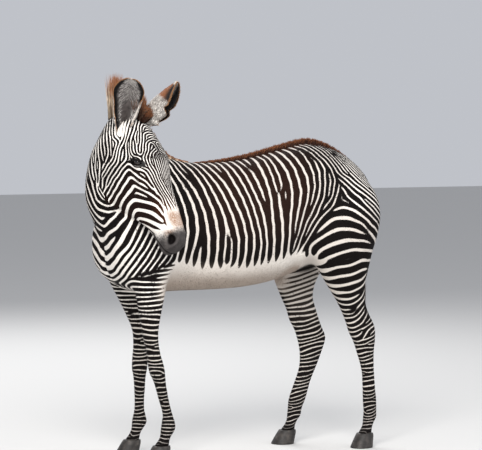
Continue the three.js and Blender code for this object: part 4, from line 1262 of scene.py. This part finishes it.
eye_finish, t, eye_shader = plain_material("eye", (0.01, 0.006, 0.004), 0.06)
spokes = maths(t, "MULTIPLY", noise(t, 700, 2.0), 0.6)
iris = mixed(t, spokes, (0.008, 0.004, 0.002), (0.03, 0.013, 0.006))
plug(t, eye_shader.inputs["Base Color"], mixed(t, read(t, "pupil"), iris, (0.002, 0.002, 0.003)))
eye_shader.inputs["Coat Weight"].default_value = 0.5
eye_shader.inputs["Coat Roughness"].default_value = 0.03
for name, side in (("eye_ball_right", 1), ("eye_ball_left", -1)):
    # A sphere with a cornea: radius + cornea * exp(-(angle from the axis / 0.5)^2).
    axis = unit(HEAD_RIGHT * side + 0.12 * HEAD_UP)
    high = unit(np.cross(HEAD_ALONG * SLIT_LONG[0] + HEAD_UP * SLIT_LONG[1], axis))
    long = np.cross(axis, high)
    tip_angle = np.linspace(0.03, np.pi - 0.03, 36)[:, None]
    spin = np.arange(56) / 56 * 2 * np.pi
    radius = EYE_RADIUS + CORNEA * np.exp(-((tip_angle / 0.5) ** 2))
    sideways = np.cos(spin)[:, None] * long + np.sin(spin)[:, None] * high
    centre = head_point(*EYE_BALL[:2], EYE_BALL[2] * side)
    grid = centre + radius[..., None] * (np.cos(tip_angle)[..., None] * axis
                                         + np.sin(tip_angle)[..., None] * sideways)
    ball, faces = tube(grid)
    eye_ball = mesh_object(name, to_frame(ball), faces, eye_finish)
    turned_out(eye_ball.data)
    away = (ball - centre) / EYE_RADIUS
    slot = np.hypot(away @ long / PUPIL_HALVES[0], away @ high / PUPIL_HALVES[1])
    slot = slot * (away @ axis > 0)
    limbus = ease(np.arccos(np.clip(unit(away) @ axis, -1, 1)), *IRIS_EDGE)
    add_value(eye_ball.data, "pupil", np.maximum(1 - ease(slot, 0.85, 1.1), limbus))
    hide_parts("eye_right" if side > 0 else "eye_left")
    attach(eye_ball, "root")

# ==== The lid rims and lashes ==================================================================
# The bare black edges of the lids, a rounded band that runs from the ball over the slit's edge and
# under the skin, and the stiff lashes of the upper lid.
rim_finish, t, rim_shader = plain_material("bare lid", (0.006, 0.0045, 0.0045), 0.6)
raise_grain(t, rim_shader, noise(t, 500, 3.0), 0.3, 0.0008)
# How many slit-sizes out, and how far above the skin in millimetres.
LID_PROFILE = np.array([(0.84, -3.2), (0.9, -2.6), (0.95, -1.4), (1.0, 0.1), (1.08, 0.7), (1.18, 0.6),
                        (1.32, 0.2), (1.5, -0.6), (1.62, -2.6), (1.3, -6.0), (1.0, -7.5)])
RIM_STEPS, LASHES = 96, 70
for name, side in (("lid_rim_right", 1), ("lid_rim_left", -1)):
    spin = (np.arange(RIM_STEPS) / RIM_STEPS * 2 * np.pi)[:, None]
    share, extra = LID_PROFILE[:, 0], LID_PROFILE[:, 1]
    high = np.where(np.sin(spin) > 0, SLIT_SIZES[1], SLIT_SIZES[2])
    long = SLIT_SIZES[0] * np.cos(spin) * share
    over = high * np.sin(spin) * (share + (share > 1) * (share - 1) * 0.6)
    plane = long[..., None] * SLIT_LONG + over[..., None] * SLIT_OVER + EYE_BALL[:2]
    stand = lid_height(long, over, extra)
    grid = head_point(plane[..., 0], plane[..., 1], side * stand)
    points_in, faces = tube(grid)
    # The tube's end fans give way to quads from its last ring to its first.
    last = (RIM_STEPS - 1) * len(share)
    faces = faces[:last]
    i = np.arange(len(share))
    n = (i + 1) % len(share)
    faces += np.stack([last + i, i, n, last + n], -1).tolist()
    rim_piece = mesh_object(name, to_frame(points_in[:-2]), faces, rim_finish)
    turned_out(rim_piece.data)
    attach(rim_piece, "root")
    at = rng.uniform(0.12, 0.88, LASHES) * np.pi
    long, over = SLIT_SIZES[0] * np.cos(at) * 1.04, SLIT_SIZES[1] * np.sin(at) * 1.04
    plane = long[:, None] * SLIT_LONG + over[:, None] * SLIT_OVER + EYE_BALL[:2]
    root = head_point(plane[:, 0], plane[:, 1], side * lid_height(long, over, 0.0))
    out = unit(HEAD_RIGHT * side + rng.normal(0, 0.12, (LASHES, 3)))
    up_lid = HEAD_ALONG * SLIT_OVER[0] + HEAD_UP * SLIT_OVER[1]
    way = unit(0.9 * out - 0.1 * up_lid + rng.normal(0, 0.12, (LASHES, 3)))
    lash = locks(root, way, up_lid * np.ones((LASHES, 1)), rng.uniform(9, 15, LASHES),
                 np.full(LASHES, 1.3), (0.0, 0.45, 0.8), 0.35)
    lashes = lock_object(name.replace("lid_rim", "lashes"), lash, rim_finish,
                         np.tile([0.5, 0.5], (LASHES, 1)))
    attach(lashes, "root")

# ==== The ears =================================================================================
# Broad cupped ears: a thin shell of gristle under short hair, black inside a tan edge, with pale
# hair in the cup; the back is whitish with a rust-brown and black band below the pale tip.
EAR_LENGTH, EAR_HALF, EAR_WALL = 236.0, 70.0, 5.0
EAR_ROWS = np.array([  # share of the length, of the half-width, how far round in degrees, bow
    (-0.12, 0.28, 165, 0.24), (0, 0.46, 165, 0.13), (0.1, 0.56, 160, 0.16),
    (0.21, 0.71, 154, 0.185), (0.31, 0.79, 148, 0.195), (0.4, 0.84, 112, 0.185),
    (0.5, 0.92, 104, 0.16), (0.6, 0.98, 92, 0.13), (0.71, 1.0, 78, 0.1),
    (0.81, 0.88, 66, 0.065), (0.9, 0.67, 54, 0.035), (0.965, 0.38, 42, 0.012), (1, 0.12, 30, 0)])
ear_rows = refine(EAR_ROWS, 8)
ear_share = np.maximum.accumulate(ear_rows[:, 0])
# Where an ear stands on the head, the way it points, the way its cup faces, and the most degrees
# that the cup goes round.
EARS = {"ear_shell_right": ((20, -40, 88), (0.056, 0.029, 0.221), (-0.4226, -0.9063, 0.1), 106),
        "ear_shell_left": ((16, -2, -78), (0.134, -0.0625, 0.203), (0.643, -0.576, -0.563), 165)}
SHARES, TURNS, EAR_ROOT = 60, 30, -0.12  # the root runs on into the skull
EDGE_HAIR, RUST_HAIR = np.array([0.38, 0.19, 0.085]), np.array([0.25, 0.095, 0.04])
WHITE_HAIR, GREY_HAIR = np.array([0.74, 0.70, 0.65]), np.array([0.11, 0.103, 0.1])
# The second colour of this line is a painted shadow for the depth of the cup.
BLACK_HAIR, PAINTED_CUP_SHADOW = np.array([0.006, 0.005, 0.005]), np.array([0.03, 0.022, 0.02])
PALE_HAIR = np.array([0.38, 0.36, 0.345])
ear_finish, t, ear_shader = plain_material("ear hair", CREAM, 0.65)
paint = new_node(t, "Attribute", attribute_name="paint").outputs["Color"]
along_ear = new_node(t, "CombineXYZ")
plug(t, along_ear.inputs["X"], maths(t, "MULTIPLY", read(t, "turn"), 60.0))
plug(t, along_ear.inputs["Y"], maths(t, "MULTIPLY", read(t, "share"), 9.0))
streaks = new_node(t, "TexNoise")
streaks.inputs["Scale"].default_value = 1.0
streaks.inputs["Detail"].default_value = 3.0
plug(t, streaks.inputs["Vector"], along_ear.outputs[0])
streaky = maths(t, "MULTIPLY", streaks.outputs["Fac"], read(t, "streak"), clamp=True)
plug(t, ear_shader.inputs["Base Color"], mixed(t, streaky, paint, (0.05, 0.04, 0.037)))
raise_grain(t, ear_shader, streaks.outputs["Fac"], 0.5, 0.002)
ear_shader.inputs["Specular IOR Level"].default_value = 0.15


def ear_points(ear, share, turn, sink):
    """A point of an ear at a share of its length and a turn from -1 to 1 round its cup, `sink`
    millimetres behind the cup's inner face: spine + across * R sin(a) + face * (r - R cos(a)),
    r = half-width / sin(min(close, 90)), R = r + sink, a = turn * close."""
    root, up, opening = (np.array(v, float) for v in EARS[ear][:3])
    rise = unit(up)
    face = unit(opening - (opening @ rise) * rise)
    sideways = np.cross(rise, face)
    half, close, bow = (np.interp(share, ear_share, ear_rows[:, i]) for i in (1, 2, 3))
    close = np.minimum(close, EARS[ear][3])
    cup = half * EAR_HALF / np.sin(np.radians(np.minimum(close, 90)))
    angle = turn * np.radians(close)
    spine = head_point(*root) + (share * EAR_LENGTH)[..., None] * rise
    spine = spine - (bow * EAR_LENGTH)[..., None] * face
    return spine + ((cup + sink) * np.sin(angle))[..., None] * sideways + (
        cup - (cup + sink) * np.cos(angle))[..., None] * face


def lay(under, over, much):
    """The colour under + (over - under) * much."""
    return under + (over - under) * much[..., None]


def ear_paint(ear, share, turn, inner):
    """Colour and streakiness by how far in from the edge a point lies, in millimetres: the cup's
    colours where inner, and otherwise the back's. The right ear's root is white on one side."""
    half, close = (np.interp(share, ear_share, ear_rows[:, i]) for i in (1, 2))
    close = np.radians(np.minimum(close, EARS[ear][3]))
    cup = half * EAR_HALF / np.sin(np.minimum(close, np.pi / 2))
    angle = np.abs(turn) * close
    flat = cup * (np.sin(np.minimum(close, np.pi / 2)) - np.sin(np.minimum(angle, np.pi / 2)))
    edge = np.minimum((1 - np.abs(turn)) * close * cup, (1 - share) * EAR_LENGTH * 0.9)
    inside = np.minimum(flat, (1 - share) * EAR_LENGTH * 0.9)
    band = 13 - 5 * ease(share, 0.86, 0.95)
    # Painted shadow in the low middle of the cup, where it is deepest.
    cup_shadow = (1 - ease(np.abs(turn), 0.05, 0.4)) * (1 - ease(share, 0.3, 0.62)) * 0.8
    cupped = lay(GREY_HAIR, PAINTED_CUP_SHADOW, cup_shadow)
    cupped = lay(cupped, WHITE_HAIR, ease(share, 0.88, 0.93) * 0.5)
    cupped = lay(cupped, BLACK_HAIR, 1 - ease(inside, band - 2.5, band + 2.5))
    cupped = lay(cupped, EDGE_HAIR, 1 - ease(edge, 1.5, 4.0))
    white_root = (1 - ease(share, 0.38, 0.5)) * (1 - ease(inside, 9, 14))
    white_root = white_root * (turn > 0) * ear.endswith("right")
    cupped = lay(cupped, WHITE_HAIR, white_root)
    back = lay(WHITE_HAIR, RUST_HAIR, ease(share, 0.5, 0.58))
    back = lay(back, BLACK_HAIR, ease(np.abs(turn), 0.6, 0.85) * ease(share, 0.46, 0.6))
    back = lay(back, WHITE_HAIR, ease(share, 0.88, 0.95))
    back = lay(back, EDGE_HAIR, (1 - ease(edge, 1.5, 4.0)) * 0.6)
    cup_streak = 1.2 * ease(inside, band, band + 4)
    back_streak = 0.9 * (1 - ease(share, 0.5, 0.6)) + 0.5
    return np.where(inner[..., None], cupped, back), np.where(inner, cup_streak, back_streak)


# The hair of an ear by kind: how many, from which share of the length to which, how far behind
# the cup's face they root, how long and how wide, in millimetres.
EAR_HAIR = {
    "fringe": (1400, 0.1, 0.99, EAR_WALL * 0.5, 8.0, 1.6),
    "cup": (1900, 0.02, 0.93, 0.6, 26.0, 1.2),
    "back": (3000, 0.0, 0.97, EAR_WALL - 0.6, 11.0, 2.2),
    "root": (700, EAR_ROOT, 0.04, EAR_WALL - 1, 24.0, 2.6),
}
for name in EARS:
    share = np.linspace(EAR_ROOT, 1, SHARES)[:, None] + np.zeros(2 * TURNS)
    turn = np.concatenate([np.linspace(-1, 1, TURNS), np.linspace(1, -1, TURNS)]) + 0 * share
    inner = np.broadcast_to(np.arange(2 * TURNS) < TURNS, share.shape)
    wall = EAR_WALL * (1 - 0.75 * np.abs(turn) ** 8) * (1 - 0.6 * ease(share, 0.85, 1.0))
    grid = ear_points(name, share, turn, np.where(inner, EAR_WALL - wall, EAR_WALL))
    ear_all, faces = tube(grid)
    shell = mesh_object(name, to_frame(ear_all), faces, ear_finish)
    turned_out(shell.data)
    colour, streak = ear_paint(name, share, turn, inner)
    colour = np.concatenate([colour.reshape(-1, 3), colour[[0, -1], 0]])
    colour = np.concatenate([colour, np.ones((len(colour), 1))], -1)
    layer = shell.data.attributes.new("paint", "FLOAT_COLOR", "POINT")
    layer.data.foreach_set("color", colour.astype(np.float32).ravel())
    for label, value in (("share", share), ("turn", turn), ("streak", streak)):
        add_value(shell.data, label, np.concatenate([value.ravel(), value[[0, -1], 0]]))
    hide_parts(name.replace("_shell", ""))
    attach(shell, "root")

    # A fringe along the edge, pale locks that reach from the edge into the cup, short tufts on the
    # back, and long ones round the root.
    sets = []
    for kind, (count, low, high, sink, hair_long, hair_wide) in EAR_HAIR.items():
        share_at = rng.uniform(low, high, count)
        sign = rng.choice([-1.0, 1.0], count)
        turn_at = {"fringe": sign * rng.uniform(0.93, 1.0, count),
                   "cup": sign * rng.uniform(0.08, 0.9, count),
                   "back": rng.uniform(-0.98, 0.98, count),
                   "root": rng.uniform(-1.0, 1.0, count)}[kind]
        step = 0.01
        root = ear_points(name, share_at, turn_at, sink)
        up_ear = unit(ear_points(name, np.minimum(share_at + step, 1), turn_at, sink)
                      - ear_points(name, np.maximum(share_at - step, 0), turn_at, sink))
        round_ear = unit(ear_points(name, share_at, turn_at + step, sink)
                         - ear_points(name, share_at, turn_at - step, sink))
        out = np.cross(round_ear, up_ear)
        behind = unit(ear_points(name, share_at, turn_at, sink + 1) - root)
        out = out * np.sign((out * behind).sum(-1, keepdims=True))
        out = -out if kind == "cup" else out
        inwards = round_ear * -np.sign(turn_at)[:, None]
        way = {"fringe": -0.6 * inwards + 0.9 * up_ear, "cup": 0.55 * inwards + 0.8 * up_ear,
               "back": up_ear, "root": up_ear + 0.25 * out}[kind]
        way = unit(way + rng.normal(0, 0.13, (count, 3)) + (0.28 if kind == "cup" else 0.14) * out)
        made = locks(root, way, out, hair_long * rng.uniform(0.6, 1.3, count),
                     np.full(count, hair_wide), thick=0.25)
        colour, _ = ear_paint(name, share_at, turn_at, np.full(count, kind in ("fringe", "cup")))
        if kind == "cup":
            brighter_low = 1 + 0.7 * (1 - ease(share_at, 0.15, 0.5))
            pale = PALE_HAIR * rng.uniform(0.4, 1.4, (count, 1)) * brighter_low[:, None]
            colour = np.where((colour.max(-1) > 0.1)[:, None], pale, colour)
        sets.append((made, colour * rng.uniform(0.8, 1.15, (count, 1))))
    made = np.concatenate([m for m, _ in sets])
    tint = np.clip(np.concatenate([c for _, c in sets]), 0, 1)
    ear_hair = lock_object(name.replace("shell", "hair"), made, ear_finish,
                           np.tile([0.6, 0.3], (len(made), 1)), share=0, turn=0, streak=0)
    layer = ear_hair.data.attributes.new("paint", "FLOAT_COLOR", "POINT")
    tint = np.concatenate([tint, np.ones((len(tint), 1))], -1)
    layer.data.foreach_set("color", np.repeat(tint, made.shape[1], 0).astype(np.float32).ravel())
    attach(ear_hair, "root")

# ==== The mane, the forelock and the crest of the back =========================================
# Stiff upright hair in a narrow band from between the ears to the withers, cream with the neck's
# dark stripes running up into it and rust-brown at its tips; a low brown ridge follows the back.
MANE_ROWS = np.array([  # root x, y, z; lean x, y, z; height; half the band's width
    (440, 0, 1452, 0.25, 0, 1, 8, 10), (360, 0, 1468, 0.2, 0, 1, 14, 12),
    (300, 0, 1488, 0.1, 0, 1, 38, 14), (235, 0, 1526, 0.1, 0, 1, 88, 15),
    (150, -2, 1574, 0.1, 0.05, 1, 116, 16), (60, -20, 1634, 0.06, 0.1, 1, 140, 17),
    (14, -62, 1678, 0.06, -0.08, 1, 204, 20), (30, -110, 1692, -0.03, 0, 1, 168, 19),
    (72, -168, 1690, 0.06, -0.05, 1, 140, 17), (98, -214, 1680, 0.2, -0.25, 1, 92, 14)], float)
CREST_ROWS = np.array([
    (470, 0, 1447, 0.4, 0, 1, 8, 14), (640, 0, 1452, 0.4, 0, 1, 24, 15),
    (780, 0, 1472, 0.35, 0, 1, 31, 15), (925, 0, 1503, 0.3, 0, 1, 37, 15),
    (1080, 0, 1534, 0.3, 0, 1, 38, 15), (1188, 0, 1519, 0.4, 0, 1, 31, 14),
    (1286, 0, 1477, 0.7, 0, 0.8, 21, 13), (1355, 0, 1428, 0.9, 0, 0.7, 12, 10)], float)
FORELOCK_ROWS = np.array([
    (84, -196, 1684, 0.1, -0.2, 1, 84, 18), (100, -226, 1674, 0.3, -0.4, 1, 70, 22),
    (112, -246, 1662, 0.4, -0.6, 0.8, 46, 20)], float)
LOCK_LEVELS = (0.0, 0.45, 0.8)  # where along a lock its rings of three points are
mane_finish, t, mane_shader = plain_material("mane hair", CREAM, 0.55)
body_hair = mixed(t, read(t, "white"), (0.030, 0.012, 0.008), (0.66, 0.52, 0.38))
tip_hair = mixed(t, read(t, "rust"), body_hair, (0.29, 0.105, 0.04))
plug(t, mane_shader.inputs["Base Color"], mixed(t, read(t, "tone"), tip_hair, (0.07, 0.028, 0.016)))
raise_grain(t, mane_shader, noise(t, 500, 2.0, (1, 1, 0.15)), 0.4, 0.001)
mane_shader.inputs["Specular IOR Level"].default_value = 0.12


def standing_hair(name, rows, count, width, spread, whites, rust_from, *replaced):
    """Locks along a row of roots, the rows a Catmull-Rom curve; a lock stands along the row's
    lean, leaning outwards by its place across the band and at random by `spread`. `whites` are
    its white shares on a dark and on a white stripe, and rust sets in from the share
    `rust_from` of its length."""
    fine = refine(rows, 12)
    gap = np.concatenate([[0], np.cumsum(np.linalg.norm(np.diff(fine[:, :3], axis=0), axis=1))])
    at = np.sort(rng.random(count)) * gap[-1]
    row = np.stack([np.interp(at, gap, fine[:, i]) for i in range(8)], -1)
    ahead = unit(np.stack([np.interp(at, gap, np.gradient(fine[:, i])) for i in range(3)], -1))
    lean = unit(row[:, 3:6])
    side = unit(np.cross(ahead, lean))
    off = rng.uniform(-1, 1, (count, 1))
    way = unit(lean + side * off * 0.10 + rng.normal(0, spread, (count, 3)))
    length = row[:, 6] * (1.04 - 0.3 * rng.random(count) ** 1.5) + 8
    length *= 1 + 0.05 * (np.sin(at * 0.31) + np.sin(at * 0.17 + off[:, 0] * 2))
    length *= np.where(rng.random(count) < 0.03, 1.06, 1)
    root = row[:, :3] + side * off * row[:, 7:8] - lean * 8
    found, _ = nearest(row[:, :3] + side * off * row[:, 7:8])
    made = locks(root, way, side * np.where(off > 0, 1, -1), length,
                 width * rng.uniform(0.7, 1.3, count), LOCK_LEVELS, 0.04)
    up_lock = np.append(np.repeat(LOCK_LEVELS, 3), 1.0) + rng.normal(0, 0.08, (count, 1))
    white = np.clip((level[found] - 0.2) * 2.5 + 0.5, 0, 1)
    white = whites[0] + (whites[1] - whites[0]) * white
    rust = np.clip((up_lock - rust_from) / 0.25, 0, 1)
    hairs = lock_object(name, made, mane_finish, hide_places[found], white=white, rust=rust,
                        tone=rng.random(count) ** 2 * 0.4)
    if replaced:
        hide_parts(*replaced)
    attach(hairs, "root")


standing_hair("mane_hair", MANE_ROWS, 9000, 4.0, 0.05, (0.3, 1.0), 0.62, "mane")
standing_hair("back_crest", CREST_ROWS, 7000, 3.4, 0.12, (0.0, 0.0), 0.75)
standing_hair("forelock", FORELOCK_ROWS, 1600, 3.4, 0.14, (0.0, 0.1), 0.8)

# ==== The tail tassel ==========================================================================
# The tail ends in a switch of long dark hair with pale strands, hanging from the last third of the
# dock.
# The middle of the tassel and its half-width and half-depth, from the dock down.
TASSEL_ROWS = np.array([
    (1432, 50, 949, 22, 21), (1428, 56, 860, 34, 32), (1422, 62, 760, 40, 38),
    (1418, 66, 660, 36, 34), (1416, 68, 580, 22, 22), (1416, 68, 548, 7, 8)], float)
CORE_SHARE, STRANDS, TASSEL_TIP = 0.8, 2600, 552
tassel_core = [tail_ring(x_at, y_at, z_at, w * CORE_SHARE, d * CORE_SHARE)
               for x_at, y_at, z_at, w, d in TASSEL_ROWS]
core_points, faces = tube(loft(tassel_core, 24, 6, 0))
tassel = mesh_object("tail_tassel_core", to_frame(core_points), faces, mane_finish)
turned_out(tassel.data)
for label, value in (("white", 0.1), ("rust", 0.0), ("tone", 0.2)):
    add_value(tassel.data, label, np.full(len(core_points), value))
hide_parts("tail_tassel")
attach(tassel, "root")
fine = refine(TASSEL_ROWS, 10)
share = rng.random(STRANDS) ** 1.2 * 0.8
at = share * (len(fine) - 1)
row = np.stack([np.interp(at, np.arange(len(fine)), fine[:, i]) for i in range(5)], -1)
spin = rng.uniform(0, 2 * np.pi, STRANDS)
out = np.stack([np.cos(spin), np.sin(spin), 0 * spin], -1)
root = row[:, :3] + out * row[:, 4:5] * 0.72
length = np.minimum(rng.uniform(90, 190, STRANDS), row[:, 2] - TASSEL_TIP)
# The strands hang down, a little outwards at the top and inwards lower down.
way = out * (0.10 - 0.28 * share[:, None] ** 2) - UP
way = unit(way + rng.normal(0, 0.03, (STRANDS, 3)))
strands = locks(root, way, out, length, rng.uniform(2.5, 5, STRANDS), (0.0, 0.4, 0.75), 0.06)
strands = lock_object("tail_tassel_hair", strands, mane_finish,
                      np.stack([spin / 7, share], -1) * 0.3,
                      white=(rng.random(STRANDS) < 0.22) * 0.8, rust=0.0,
                      tone=rng.random(STRANDS) * 0.6)
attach(strands, "root")

# ==== The hooves ===============================================================================
# Four slate-grey horn hooves, flat beneath, with growth rings round the wall and a scuffed rim.
# Height, how far ahead of the fetlock, half-width, reach to the front and reach to the back.
HOOF_ROWS = ((71, 38, 40, 44, 42), (57, 41, 44, 51, 46), (30, 50, 49, 59, 49), (4, 58, 54, 66, 52),
             (0.6, 58, 52, 64, 50))
horn, t, horn_shader = plain_material("horn", (0.09, 0.085, 0.08), 0.5)
rings = noise(t, 60, 2.0, (0.2, 0.2, 6.0))
scuffed = noise(t, 35, 4.0)
grey_horn = mixed(t, rings, (0.006, 0.0055, 0.006), (0.032, 0.029, 0.027))
horn_colour = mixed(t, maths(t, "POWER", scuffed, 4.0), grey_horn, (0.2, 0.17, 0.15))
plug(t, horn_shader.inputs["Base Color"], horn_colour)
horn_shader.inputs["Specular IOR Level"].default_value = 0.25
raise_grain(t, horn_shader, rings, 0.5, 0.002)
for leg in LEG_LEVELS:
    x_at, y_at, toe = FETLOCKS[leg]
    ahead = compass(180 + toe)
    rows = []
    for z_at, forward, w, front, back in HOOF_ROWS:
        middle = np.array([x_at, y_at, z_at]) + ahead * forward
        rows.append(ring(middle, compass(90 + toe), ahead, w, front, back, 2.1))
    grid = ring_points(np.concatenate([refine(rows[:4], 8), np.array(rows[4:])]), 72)
    grid[-1, :, 2] = 0.0
    ripple = 0.5 * np.sin(grid[..., 2:] * 0.9)
    middle = grid.mean(1, keepdims=True)
    grid[..., :2] += (unit(grid - middle) * ripple)[..., :2]
    hoof_points, faces = tube(grid)
    hoof = mesh_object(f"{leg}_horn", to_frame(hoof_points), faces, horn)
    turned_out(hoof.data)
    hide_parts(f"{leg}_hoof")
    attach(hoof, "root")
